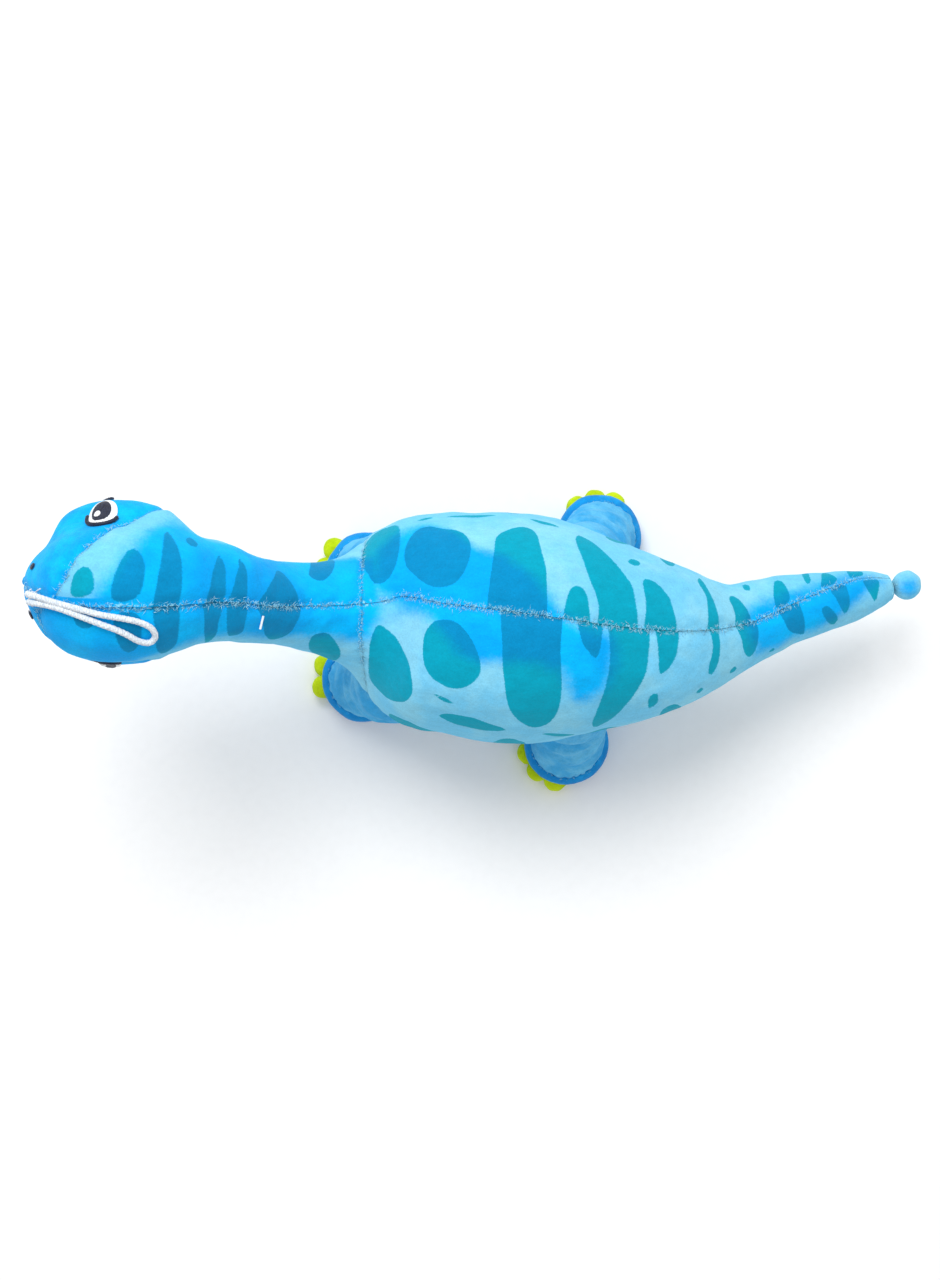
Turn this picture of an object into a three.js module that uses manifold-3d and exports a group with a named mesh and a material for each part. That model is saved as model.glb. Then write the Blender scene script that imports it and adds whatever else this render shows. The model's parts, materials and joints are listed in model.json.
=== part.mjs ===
// A stuffed long-necked dinosaur, standing on four stubby legs with its neck raised.
// It is sewn from plush panels over fibre filling. Millimetres; +Z is up, -X is towards the nose,
// +Y is the dinosaur's right. The origin is on the ground, under the middle of the object's box.
// Every soft body is a solid filling inside thin sewn panels. Where one body bends on another, the
// one that moves ends in a ball, and the other has a round socket for it.

import * as THREE from "three";
import { mergeVertices } from "three/addons/utils/BufferGeometryUtils.js";
import Module from "manifold-3d";

const wasm = await Module();
wasm.setup();

// ---------------------------------------------------------------- driving dimensions

const SKIN = 1.6; // wall of a sewn plush panel, backing and pile
const SEAM_GAP = 0.5; // between two panels at a seam, and between a panel and the filling
const TURN_GAP = 1.2; // between a ball and its socket
const SQUARENESS = 2.2; // exponent of the oval sections: 2 is an ellipse
const BELLY_SEAM_DEG = 122; // where the belly panel meets the side panels, from the spine

// Overall sizes. They grade the sections below, as a sewing pattern is graded from its drawn size.
const BODY_LENGTH = 150; // neck seam to tail seam
const BODY_WIDTH = 96.6;
const BODY_DEPTH = 98;
const NECK_LENGTH = 74; // the body's end to the head's root
const NECK_WIDTH = 33.6; // where it is narrowest
const HEAD_LENGTH = 73; // nose to the head's root
const HEAD_WIDTH = 54.4;
const TAIL_LENGTH = 86; // the body's end to the tail's last section
const TAIL_WIDTH = 36;

// Where the forms are drawn: these stay as they are, and the sizes above are what is changed.
const DRAWN = {
  body: [150, 96.6, 98],
  neck: [74, 33.6],
  head: [73, 54.4],
  tail: [86, 36],
};

// What a parent keeps all round the ball of the form that turns in its end.
const NECK_RIM = 3;
const HEAD_RIM = 2.7;
const TAIL_RIM = 3.5;

// The sections of each form run from the nose towards the tail. half is half the width, up and down
// are the heights over and under the centre, and roll leans the spine seam towards +Y, in degrees.
// The torso's are placed in the object, and the others from the root that they turn on.
const BODY_MIDDLE = [17, 5];
const TORSO_SECTIONS = [
  { at: [-58, 13, 84], half: 26.5, up: 26, down: 26, roll: 8 },
  { at: [-52.5, 13.4, 81], half: 32.5, up: 30.5, down: 33, roll: 10 },
  { at: [-47.5, 13, 79], half: 37.5, up: 34.5, down: 39, roll: 10 },
  { at: [-42, 11.8, 77.5], half: 41.5, up: 38.5, down: 44.5, roll: 10 },
  { at: [-33, 9.3, 76], half: 45, up: 42.5, down: 47.5, roll: 10 },
  { at: [-16, 6.7, 75], half: 46.8, up: 47, down: 48.5, roll: 9 },
  { at: [1, 5, 75], half: 48.3, up: 49, down: 49, roll: 8 },
  { at: [17, 3.9, 75], half: 47.7, up: 49, down: 48.5, roll: 7 },
  { at: [30, 3.2, 75.5], half: 45, up: 47, down: 47, roll: 6 },
  { at: [43, 2.3, 76], half: 41.2, up: 43, down: 44, roll: 5 },
  { at: [59.5, 1.6, 75.5], half: 36.3, up: 36.5, down: 38, roll: 4 },
  { at: [76.5, 2, 73], half: 29.6, up: 29, down: 30.5, roll: 3 },
  { at: [85, 2.6, 71], half: 25.6, up: 25, down: 26, roll: 3 },
  { at: [92, 3.5, 69], half: 22, up: 21.5, down: 22, roll: 3 },
];

const NECK_AXIS = [-0.88, 0, 0.47];
const NECK_SECTIONS = [
  { at: [-54, 5.6, 50.5], half: 19.3, up: 19.3, down: 19.3, roll: -10 },
  { at: [-46.5, 4.2, 42], half: 17.7, up: 18.2, down: 18.2, roll: -7 },
  { at: [-39, 3, 33], half: 16.9, up: 17.6, down: 17.6, roll: -4 },
  { at: [-31, 2, 24], half: 16.8, up: 17.6, down: 17.6, roll: 0 },
  { at: [-23, 1.2, 16], half: 17.7, up: 18.6, down: 18.6, roll: 2 },
  { at: [-16, 0.6, 10], half: 19, up: 19.8, down: 19.8, roll: 4 },
];

const HEAD_AXIS = [-0.8, 0.04, 0.6];
const HEAD_BALL_ROLL = -10;
const HEAD_ROLL = -16;
const HEAD_SECTIONS = [
  { at: [-72.6, 4.4, 6.5], half: 2, up: 2, down: 2, roll: HEAD_ROLL },
  { at: [-70.5, 4, 6.8], half: 7, up: 6.5, down: 5.5, roll: HEAD_ROLL },
  { at: [-67, 3.2, 7.8], half: 12, up: 11, down: 9.5, roll: HEAD_ROLL },
  { at: [-63, 2.4, 9.1], half: 15.8, up: 14.8, down: 12, roll: HEAD_ROLL },
  { at: [-59, 1.8, 10.5], half: 19, up: 18, down: 14, roll: HEAD_ROLL },
  { at: [-53, 1.2, 12.5], half: 22.8, up: 21.5, down: 17, roll: HEAD_ROLL },
  { at: [-45, 0.6, 14.5], half: 25.8, up: 24.5, down: 20, roll: HEAD_ROLL },
  { at: [-36, 0.3, 16], half: 27.2, up: 26, down: 22, roll: HEAD_ROLL },
  { at: [-28, 0.3, 15.5], half: 27, up: 25.5, down: 22, roll: HEAD_ROLL },
  { at: [-20, 0.3, 13], half: 25.5, up: 23.7, down: 21.5, roll: HEAD_ROLL },
  { at: [-13, 0.2, 9.5], half: 23, up: 21.7, down: 20.5, roll: -14 },
  { at: [-7.5, 0.1, 5.8], half: 20.6, up: 19.8, down: 19.4, roll: -12 },
];
const HOOD_SEAM = { at: [-57, 0, 31], slope_deg: 27 }; // the plane of the seam round the face

const TAIL_AXIS = [0.93, 0.24, -0.2];
const TAIL_SECTIONS = [
  { at: [10.5, 2.5, -3], half: 18, up: 17.6, down: 17.6, roll: 2 },
  { at: [19, 5.3, -5.6], half: 16.5, up: 16.2, down: 16.2, roll: 3 },
  { at: [29.5, 8.9, -9], half: 15, up: 14.8, down: 14.8, roll: 8 },
  { at: [40, 11.3, -12], half: 13.8, up: 13.6, down: 13.6, roll: 17 },
  { at: [51, 13.5, -15], half: 12.2, up: 12.2, down: 12.2, roll: 30 },
  { at: [66, 16.7, -19], half: 9.4, up: 9.4, down: 9.4, roll: 44 },
  { at: [74.5, 18.5, -21], half: 7.2, up: 7.2, down: 7.2, roll: 46 },
  { at: [80.3, 19.5, -22.2], half: 5.2, up: 5.2, down: 5.2, roll: 46 },
];
const TAIL_TIP = { at: [87, 20.5, -23.4], radius: 6.4 };

// A leg hangs from a ball at its hip, and leans out to its foot, which is placed from the hip. toes is
// the way the toes point, and tuck is how far they are drawn in under the band.
const LEG_BALL = 18;
const LEG_SHAFT = 16.6;
const ANKLE_Z = 16; // the seam between the leg and the band round the foot
const FOOT_RADIUS = 19.4;
const SOLE_RADIUS = 17.6;
const SOLE_THICKNESS = 2;
const LEGS = {
  front_left: { hip: [-46, -18.5, 43], foot: [-14, 0.5], toes: 161, tuck: 0 },
  front_right: { hip: [-45, 30.5, 43], foot: [-13.5, -0.5], toes: 172, tuck: 0 },
  hind_left: { hip: [32, -28, 45], foot: [0, -18.8], toes: 225, tuck: 1.4 },
  hind_right: { hip: [38, 34, 45], foot: [9, 13], toes: 96, tuck: 2.6 },
};
const TOES = 3;
const TOE_PITCH_DEG = 29;
const TOE = { width: 11, height: 8.6, reach: 5.4, low: 0.6 }; // reach is how far it stands out

// along is the distance ahead of the head's root.
const CHEEK = { along: 36, side: 17.5, below: 12.5, size: [26.5, 16, 13] };
const JAW = { along: 40, side: 0, below: 17, size: [27, 18.5, 11] };
const EYE = { along: 37, around_deg: 77, white: [6.4, 7.6], pupil: [4.4, 5.4], glint: 1.5 };
const NOSTRIL = { along: 66, around_deg: 38, radius: 1.7 };
const PATCH = 0.7; // thickness of one embroidered layer
const PATCH_GAP = 0.35; // between two layers, so that they stay separate solids

// The hanging loop: braided cord, both of whose ends go down into the seam on top of the snout. It
// lies on the head. Each point is x and y from the nose, and how far its middle is over the plush.
const CORD_DIAMETER = 2.4;
const LOOP_REST = 1.8;
const LOOP_ROUTE = [
  [5.2, -5.4, 1.4],
  [6.2, -5.8, 3],
  [11.1, -7.1, LOOP_REST + 0.4],
  [17.6, -9, LOOP_REST],
  [24.3, -10.7, LOOP_REST],
  [30.1, -12.2, LOOP_REST],
  [35.9, -13.7, LOOP_REST],
  [44.6, -15.2, LOOP_REST],
  [49.8, -16.5, LOOP_REST],
  [53.6, -18.6, LOOP_REST],
  [54.7, -21.7, LOOP_REST],
  [52.4, -24, LOOP_REST],
  [48.7, -23.4, LOOP_REST],
  [45, -21.2, LOOP_REST],
  [41.2, -19.3, LOOP_REST],
  [36.4, -17.5, LOOP_REST],
  [28.3, -14.4, LOOP_REST],
  [21.1, -11.8, LOOP_REST],
  [15.6, -10.3, LOOP_REST],
  [10.6, -9.4, LOOP_REST + 0.4],
  [6.6, -8.8, 3],
  [5.4, -8.6, 1.4],
];
// The plastic thread that held a tag: its ends in x and y from the neck's root, and over the plush.
const TAG_PIN = { from: [-34.6, -3.7, 0.8], to: [-36, -8.7, 1.4], diameter: 0.9 };

// How each limb swings on its root: the axis, and how far it goes each way in degrees.
const SWING = {
  neck: [[0, 1, 0], -25, 20],
  head: [[0, 1, 0], -18, 18],
  tail: [[0, 0, 1], -25, 25],
  leg: [[0, 1, 0], -20, 20],
};

// How finely the forms are cut: steps round a section, and sections between two given ones.
const ROUND = { torso: 24, neck: 18, head: 20, tail: 14, leg: 14 };
const BALL_RINGS = 3;
const COARSE = 0.4; // how far the simplified room a limb sweeps may be from the true one
const FINE = 0.04; // and how far a cut piece may be

// ---------------------------------------------------------------- materials

const COLOURS = {
  blue_plush: [0x4fb4e6, 0.95],
  face_plush: [0x2fa8ea, 0.95],
  belly_plush: [0x9ad6ee, 0.95],
  foot_plush: [0x1f7fc8, 0.95],
  toe_plush: [0xb7cf1e, 0.9],
  filling: [0xf4f4ef, 1],
  white_cord: [0xe9edf0, 0.8],
  eye_white: [0xf6f7f8, 0.6],
  eye_dark: [0x16202c, 0.5],
  tag_plastic: [0xf2f6fa, 0.35],
};

function material(name) {
  const [color, roughness] = COLOURS[name];
  return new THREE.MeshStandardMaterial({ color, roughness, metalness: 0 });
}

// ---------------------------------------------------------------- solids

const radians = THREE.MathUtils.degToRad;

// A closed geometry as a manifold solid with its faces pointing out.
function solidOf(geometry) {
  const bare = new THREE.BufferGeometry().setAttribute("position", geometry.getAttribute("position"));
  if (geometry.index) bare.setIndex(geometry.index);
  const merged = mergeVertices(bare, 1e-4);
  const triVerts = new Uint32Array(merged.index.array);
  const vertProperties = merged.attributes.position.array;
  const solid = new wasm.Manifold(new wasm.Mesh({ numProp: 3, vertProperties, triVerts }));
  if (solid.volume() > 0) return solid;
  for (let i = 0; i < triVerts.length; i += 3) {
    [triVerts[i + 1], triVerts[i + 2]] = [triVerts[i + 2], triVerts[i + 1]];
  }
  return new wasm.Manifold(new wasm.Mesh({ numProp: 3, vertProperties, triVerts }));
}

function geometryOf(solid) {
  const { numProp, vertProperties, triVerts } = solid.getMesh();
  const points = new Float32Array((vertProperties.length / numProp) * 3);
  for (let i = 0; i < points.length / 3; i++) {
    points.set(vertProperties.subarray(i * numProp, i * numProp + 3), i * 3);
  }
  const geometry = new THREE.BufferGeometry();
  geometry.setAttribute("position", new THREE.BufferAttribute(points, 3));
  geometry.setIndex(new THREE.BufferAttribute(triVerts, 1));
  geometry.computeVertexNormals();
  return geometry;
}

// A solid ball, or an ellipsoid when size gives three half-axes, turned by a quaternion.
function ellipsoid(at, size, turn = new THREE.Quaternion(), across = 20, high = 12) {
  const geometry = new THREE.SphereGeometry(1, across, high);
  geometry.applyMatrix4(
    new THREE.Matrix4().compose(new THREE.Vector3(...at), turn, new THREE.Vector3(...size)),
  );
  return solidOf(geometry);
}

function socket(root) {
  const r = root.radius + TURN_GAP;
  return ellipsoid(root.at, [r, r, r], undefined, 16, 10);
}

// What is cut from a parent for a limb: the socket for its ball, and the room that the given part of
// it sweeps as it swings through its range on the axis through its root.
function clearance(solid, root, [axis, low, high]) {
  const [x, y, z] = root.at;
  const atOrigin = solid.translate([-x, -y, -z]);
  const poses = [low, 0, high].map((deg) => {
    const turn = new THREE.Matrix4().makeRotationAxis(new THREE.Vector3(...axis), radians(deg));
    return atOrigin.transform(turn.elements).translate([x, y, z]);
  });
  return wasm.Manifold.hull(poses).simplify(COARSE).add(socket(root)).simplify(COARSE / 4);
}

// The triangles of a grid of points: rows of equal length, joined row to row.
function gridFaces(rows, columns, closed, index) {
  const faces = [];
  const last = closed ? columns : columns - 1;
  for (let i = 0; i < rows - 1; i++) {
    for (let j = 0; j < last; j++) {
      const k = (j + 1) % columns;
      faces.push(index(i, j), index(i + 1, j), index(i + 1, k));
      faces.push(index(i, j), index(i + 1, k), index(i, k));
    }
  }
  return faces;
}

function solidFrom(points, faces) {
  const geometry = new THREE.BufferGeometry();
  geometry.setAttribute("position", new THREE.Float32BufferAttribute(points.flatMap((p) => p.toArray()), 3));
  geometry.setIndex(faces);
  return solidOf(geometry);
}

// ---------------------------------------------------------------- soft forms

const curve = (vectors) => new THREE.CatmullRomCurve3(vectors, false, "centripetal");

// A tube of changing oval section along a curved centre line.
class Form {
  // level: the sections lie flat, as a leg's do, where the others stand across the centre line.
  constructor(stations, around, level = false) {
    this.count = stations.length;
    this.around = around;
    this.level = level;
    this.centres = curve(stations.map((s) => new THREE.Vector3(...s.at)));
    this.sizes = curve(stations.map((s) => new THREE.Vector3(s.half, s.up, s.down)));
    this.rolls = curve(stations.map((s, i) => new THREE.Vector3(s.roll ?? 0, i, 0)));
  }

  frame(t) {
    const along = this.level ? new THREE.Vector3(0, 0, -1) : this.centres.getTangent(t);
    const reference = this.level ? new THREE.Vector3(1, 0, 0) : new THREE.Vector3(0, 0, 1);
    const right = reference.clone().cross(along).normalize();
    const up = along.clone().cross(right);
    const roll = radians(this.rolls.getPoint(t).x);
    return {
      right: right.clone().multiplyScalar(Math.cos(roll)).addScaledVector(up, -Math.sin(roll)),
      up: up.clone().multiplyScalar(Math.cos(roll)).addScaledVector(right, Math.sin(roll)),
    };
  }

  // The point at an angle from the top seam, positive towards +Y, moved out by offset.
  point(t, angle, offset = 0) {
    const { right, up } = this.frame(t);
    const size = this.sizes.getPoint(t);
    const power = this.level ? 1 : 2 / SQUARENESS;
    const bend = (v) => Math.sign(v) * Math.abs(v) ** power;
    const high = (Math.cos(angle) > 0 ? size.y : size.z) + offset;
    return this.centres
      .getPoint(t)
      .addScaledVector(right, Math.max(size.x + offset, 0.3) * bend(Math.sin(angle)))
      .addScaledVector(up, Math.max(high, 0.3) * bend(Math.cos(angle)));
  }

  // The t where the centre line, which runs towards +X, passes x.
  atX(x) {
    let [low, high] = [0, 1];
    for (let i = 0; i < 24; i++) {
      const middle = (low + high) / 2;
      if (this.centres.getPoint(middle).x < x) low = middle;
      else high = middle;
    }
    return high;
  }

  // The point that stands off the upper surface right over x, y.
  over([x, y, offset]) {
    let [along, angle] = [x, 0];
    for (let i = 0; i < 60; i++) {
      const miss = this.point(this.atX(along), angle, offset);
      along += (x - miss.x) / 2;
      angle += (y - miss.y) / 2 / this.sizes.getPoint(0.5).x;
    }
    return this.point(this.atX(along), angle, offset);
  }

  // The whole form as one solid, between two places along it.
  solid(offset = 0, from = 0, to = 1) {
    const rows = Math.round((this.count - 1) * (to - from)) + 1;
    const points = [];
    for (let i = 0; i < rows; i++) {
      const t = from + ((to - from) * i) / (rows - 1);
      for (let j = 0; j < this.around; j++) {
        points.push(this.point(t, (2 * Math.PI * j) / this.around, offset));
      }
    }
    const faces = gridFaces(rows, this.around, true, (i, j) => i * this.around + j);
    for (const [row, flip] of [[0, false], [rows - 1, true]]) {
      const hub = points.push(this.centres.getPoint(row ? to : from)) - 1;
      for (let j = 0; j < this.around; j++) {
        const a = row * this.around + j;
        const b = row * this.around + ((j + 1) % this.around);
        faces.push(hub, flip ? b : a, flip ? a : b);
      }
    }
    return solidFrom(points, faces);
  }

  // A sewn panel: the part of the skin between two angles, with half a seam gap left at each edge.
  panel(fromDeg, toDeg, from = 0, to = 1) {
    const rows = Math.round((this.count - 1) * (to - from)) + 1;
    const columns = Math.max(3, Math.round((this.around * (toDeg - fromDeg)) / 360) + 1);
    const points = [];
    for (const offset of [0, -SKIN]) {
      for (let i = 0; i < rows; i++) {
        const t = from + ((to - from) * i) / (rows - 1);
        const gap = SEAM_GAP / 2 / this.sizes.getPoint(t).x;
        for (let j = 0; j < columns; j++) {
          const low = radians(fromDeg) + gap;
          const high = radians(toDeg) - gap;
          points.push(this.point(t, low + ((high - low) * j) / (columns - 1), offset));
        }
      }
    }
    const inner = rows * columns;
    const outside = gridFaces(rows, columns, false, (i, j) => i * columns + j);
    const inside = gridFaces(rows, columns, false, (i, j) => inner + i * columns + j);
    for (let i = 0; i < inside.length; i += 3) {
      [inside[i + 1], inside[i + 2]] = [inside[i + 2], inside[i + 1]];
    }
    const rim = [];
    for (let j = 0; j < columns; j++) rim.push(j);
    for (let i = 1; i < rows; i++) rim.push(i * columns + columns - 1);
    for (let j = columns - 2; j >= 0; j--) rim.push((rows - 1) * columns + j);
    for (let i = rows - 2; i > 0; i--) rim.push(i * columns);
    const wall = [];
    rim.forEach((a, k) => {
      const b = rim[(k + 1) % rim.length];
      wall.push(a, b, inner + b, a, inner + b, inner + a);
    });
    return solidFrom(points, [...outside, ...inside, ...wall]);
  }

  filling(from = 0, to = 1) {
    return this.solid(-SKIN - SEAM_GAP, from, to);
  }
}

// The sections of the ball that ends a moving form: rings from where the form meets it to its pole.
// towards is 1 where the ball ends the list of sections, and -1 where it begins it.
function ballSections(root, firstDeg, towards) {
  const axis = new THREE.Vector3(...root.axis).normalize();
  const sections = [];
  for (let i = 0; i <= BALL_RINGS; i++) {
    const angle = radians(firstDeg + ((170 - firstDeg) * i) / BALL_RINGS);
    const at = new THREE.Vector3(...root.at).addScaledVector(axis, root.radius * Math.cos(angle));
    const half = root.radius * Math.sin(angle);
    sections.push({ at: at.toArray(), half, up: half, down: half, roll: root.roll ?? 0 });
  }
  return towards > 0 ? sections : sections.reverse();
}

const [bodyLong, bodyWide, bodyDeep] = [BODY_LENGTH, BODY_WIDTH, BODY_DEPTH].map(
  (size, i) => size / DRAWN.body[i],
);
const neckGrade = [NECK_LENGTH / DRAWN.neck[0], NECK_WIDTH / DRAWN.neck[1]];
const headGrade = [HEAD_LENGTH / DRAWN.head[0], HEAD_WIDTH / DRAWN.head[1]];
const tailGrade = [TAIL_LENGTH / DRAWN.tail[0], TAIL_WIDTH / DRAWN.tail[1]];

// A place on the torso, moved as the torso is graded.
function onBody([x, y, z]) {
  const [middleX, middleY] = BODY_MIDDLE;
  return [middleX + (x - middleX) * bodyLong, middleY + (y - middleY) * bodyWide, z];
}

const from = (root, [x, y, z], long) => [root[0] + x * long, root[1] + y * long, root[2] + z * long];

function graded(sections, root, [long, wide]) {
  return sections.map(({ at, half, up, down, roll }) => ({
    at: from(root, at, long),
    half: half * wide,
    up: up * wide,
    down: down * wide,
    roll,
  }));
}

const torsoSections = TORSO_SECTIONS.map(({ at, half, up, down, roll }) => ({
  at: onBody(at),
  half: half * bodyWide,
  up: up * bodyDeep,
  down: down * bodyDeep,
  roll,
}));
const [frontEnd, backEnd] = [torsoSections[0], torsoSections.at(-1)];
const ballIn = (end, rim, axis) => ({
  at: end.at,
  radius: Math.min(end.half, end.up, end.down) - rim,
  axis,
});

const NECK_ROOT = ballIn(frontEnd, NECK_RIM, NECK_AXIS);
const neckSections = graded(NECK_SECTIONS, NECK_ROOT.at, neckGrade);
const HEAD_ROOT = ballIn(neckSections[0], HEAD_RIM, HEAD_AXIS);
const headSections = graded(HEAD_SECTIONS, HEAD_ROOT.at, headGrade);
const NOSE = headSections[0].at;
const TAIL_ROOT = ballIn(backEnd, TAIL_RIM, TAIL_AXIS);
const tailSections = graded(TAIL_SECTIONS, TAIL_ROOT.at, tailGrade);
const headBall = ballSections({ ...HEAD_ROOT, roll: HEAD_BALL_ROLL }, 76, 1);

const torso = new Form(torsoSections, ROUND.torso);
const neck = new Form([...neckSections, ...ballSections(NECK_ROOT, 70, 1)], ROUND.neck);
const head = new Form([...headSections, ...headBall], ROUND.head);
const tail = new Form([...ballSections(TAIL_ROOT, 80, -1), ...tailSections], ROUND.tail);
const legs = Object.entries(LEGS).map(([name, { hip, foot, toes, tuck }]) => {
  const at = onBody(hip);
  return [name, { hip: at, foot: [at[0] + foot[0], at[1] + foot[1]], toes, tuck }];
});

// ---------------------------------------------------------------- the object

const object = new THREE.Group();

function add(name, solid, slot) {
  const mesh = new THREE.Mesh(geometryOf(solid), material(slot));
  mesh.name = name;
  object.add(mesh);
}

function subtractAll(solid, cutters) {
  return cutters.reduce((left, cutter) => left.subtract(cutter), solid);
}

// Torso: two side panels that meet along the spine, a belly panel, and the filling.
function addTorso() {
  const margin = TURN_GAP + COARSE;
  const sockets = [
    clearance(neck.solid(margin, 4 / (neck.count - 1), 1), NECK_ROOT, SWING.neck),
    clearance(tail.solid(margin, 0, (BALL_RINGS + 2) / (tail.count - 1)), TAIL_ROOT, SWING.tail),
  ];
  for (const [, leg] of legs) {
    const root = { at: leg.hip, radius: LEG_BALL };
    sockets.push(clearance(legForm(leg).solid(margin), root, SWING.leg));
  }
  const panels = {
    body_right_panel: [0, BELLY_SEAM_DEG, "blue_plush"],
    belly_panel: [BELLY_SEAM_DEG, 360 - BELLY_SEAM_DEG, "belly_plush"],
    body_left_panel: [360 - BELLY_SEAM_DEG, 360, "blue_plush"],
  };
  for (const [name, [from, to, slot]] of Object.entries(panels)) {
    add(name, largest(subtractAll(torso.panel(from, to), sockets)), slot);
  }
  add("body_filling", largest(subtractAll(torso.filling(), sockets)), "filling");
}

// A cut can leave a loose sliver beside a socket: the piece is the part that matters.
function largest(solid) {
  const parts = solid.simplify(FINE).decompose();
  return parts.reduce((best, part) => (part.volume() > best.volume() ? part : best));
}

function addNeck() {
  const skull = head.solid(TURN_GAP + COARSE, 8 / (head.count - 1), 1);
  const cut = [clearance(skull, HEAD_ROOT, SWING.head)];
  add("neck_right_panel", largest(subtractAll(neck.panel(0, 180), cut)), "blue_plush");
  add("neck_left_panel", largest(subtractAll(neck.panel(180, 360), cut)), "blue_plush");
  add("neck_filling", largest(subtractAll(neck.filling(), cut)), "filling");
}

function addTail() {
  add("tail_right_panel", tail.panel(0, 180), "blue_plush");
  add("tail_left_panel", tail.panel(180, 360), "blue_plush");
  add("tail_filling", tail.filling(), "filling");
  const r = TAIL_TIP.radius;
  const bead = ellipsoid(from(TAIL_ROOT.at, TAIL_TIP.at, tailGrade[0]), [r, r, r], undefined, 14, 10);
  add("tail_tip", bead.subtract(tail.solid(SEAM_GAP, 0.6, 1)), "blue_plush");
}

// ---- head

const headTurn = new THREE.Quaternion().setFromAxisAngle(new THREE.Vector3(1, 0, 0), radians(-HEAD_ROLL));

const aheadOfRoot = (along) => head.atX(HEAD_ROOT.at[0] - along * headGrade[0]);

// A lump under the skull, given by how far along, to the side and below the skull's middle it is.
function headLump({ along, side, below, size }, sign, grow = 0) {
  const [long, wide] = headGrade;
  const t = aheadOfRoot(along);
  const { right, up } = head.frame(t);
  const at = head.centres.getPoint(t);
  at.addScaledVector(right, side * sign * wide).addScaledVector(up, -below * wide);
  const axes = [size[0] * long + grow, size[1] * wide + grow, size[2] * wide + grow];
  return ellipsoid(at.toArray(), axes, headTurn, 16, 10);
}

// The half space over and behind the seam round the face, as a large box.
function hoodSpace() {
  const side = 200;
  const box = new THREE.BoxGeometry(side, side, side);
  box.translate(side / 2, 0, side / 2);
  box.rotateY(radians(HOOD_SEAM.slope_deg));
  box.translate(...from(HEAD_ROOT.at, HOOD_SEAM.at, headGrade[0]));
  return box;
}

// One layer of embroidery: a thin patch over the skull inside an oval tube along its normal.
function patch(t, angle, radii, layer) {
  const low = PATCH_GAP + layer * (PATCH + PATCH_GAP);
  const sheet = head.solid(low + PATCH).subtract(head.solid(low));
  const centre = head.point(t, angle);
  const outward = head.point(t, angle, 10).sub(centre).normalize();
  const tube = new THREE.CylinderGeometry(1, 1, 16, 14);
  tube.scale(radii[0], 1, radii[1]);
  const tangent = head.centres.getTangent(t);
  const across = outward.clone().cross(tangent).normalize();
  const along = across.clone().cross(outward);
  tube.applyMatrix4(new THREE.Matrix4().makeBasis(along, outward, across).setPosition(centre));
  return largest(sheet.intersect(solidOf(tube)));
}

function addHead() {
  const hood = solidOf(hoodSpace());
  const trim = new THREE.BoxGeometry(200, 200, 200);
  trim.translate(100, 0, 100 - SEAM_GAP);
  trim.rotateY(radians(HOOD_SEAM.slope_deg));
  const [x, y, z] = from(HEAD_ROOT.at, HOOD_SEAM.at, headGrade[0]);
  trim.translate(x - SEAM_GAP, y, z);
  const hoodWithGap = solidOf(trim);
  for (const [side, from, to] of [["right", 0, 180], ["left", 180, 360]]) {
    const skin = head.panel(from, to);
    add(`hood_${side}_panel`, largest(skin.intersect(hood)), "blue_plush");
    add(`face_${side}_panel`, largest(skin.subtract(hoodWithGap)), "face_plush");
  }
  add("head_filling", head.filling(), "filling");

  const skull = head.solid(SEAM_GAP);
  const cheeks = { right: headLump(CHEEK, 1), left: headLump(CHEEK, -1) };
  for (const [side, lump] of Object.entries(cheeks)) {
    add(`cheek_${side}`, largest(lump.subtract(skull)), "face_plush");
  }
  const rooms = [1, -1].map((sign) => headLump(CHEEK, sign, SEAM_GAP));
  const jaw = subtractAll(headLump(JAW, 0), [skull, ...rooms]);
  add("jaw", largest(jaw), "face_plush");

  const eyeAt = aheadOfRoot(EYE.along);
  const noseAt = aheadOfRoot(NOSTRIL.along);
  for (const [side, sign] of [["right", 1], ["left", -1]]) {
    const eye = radians(EYE.around_deg) * sign;
    add(`eye_white_${side}`, patch(eyeAt, eye, EYE.white, 0), "eye_white");
    add(`eye_pupil_${side}`, patch(eyeAt, eye, EYE.pupil, 1), "eye_dark");
    add(`eye_glint_${side}`, patch(eyeAt - 0.008, eye - sign * 0.09, [EYE.glint, EYE.glint], 2), "eye_white");
    const nostril = radians(NOSTRIL.around_deg) * sign;
    add(`nostril_${side}`, patch(noseAt, nostril, [NOSTRIL.radius, NOSTRIL.radius], 0), "eye_dark");
  }
}

// ---- hanging loop and tag pin

// A round bar along a curve, as an extrusion, because that closes its ends.
function roundBar(path, diameter, steps, sides = 8) {
  const section = new THREE.Shape();
  for (let i = 0; i < sides; i++) {
    const a = (2 * Math.PI * i) / sides;
    const [x, y] = [(Math.cos(a) * diameter) / 2, (Math.sin(a) * diameter) / 2];
    if (i) section.lineTo(x, y);
    else section.moveTo(x, y);
  }
  return new THREE.ExtrudeGeometry(section, { steps, extrudePath: path, bevelEnabled: false });
}

function addLoop() {
  const route = curve(LOOP_ROUTE.map(([x, y, off]) => head.over([NOSE[0] + x, NOSE[1] + y, off])));
  const steps = Math.ceil(route.getLength() / (1.5 * CORD_DIAMETER));
  add("hanging_loop", solidOf(roundBar(route, CORD_DIAMETER, steps)), "white_cord");
}

function addTagPin() {
  const [x, y] = NECK_ROOT.at;
  const ends = [TAG_PIN.from, TAG_PIN.to].map((end) => neck.over([x + end[0], y + end[1], end[2]]));
  const line = new THREE.LineCurve3(...ends);
  add("tag_pin", solidOf(roundBar(line, TAG_PIN.diameter, 1)), "tag_plastic");
}

// ---- legs

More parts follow.
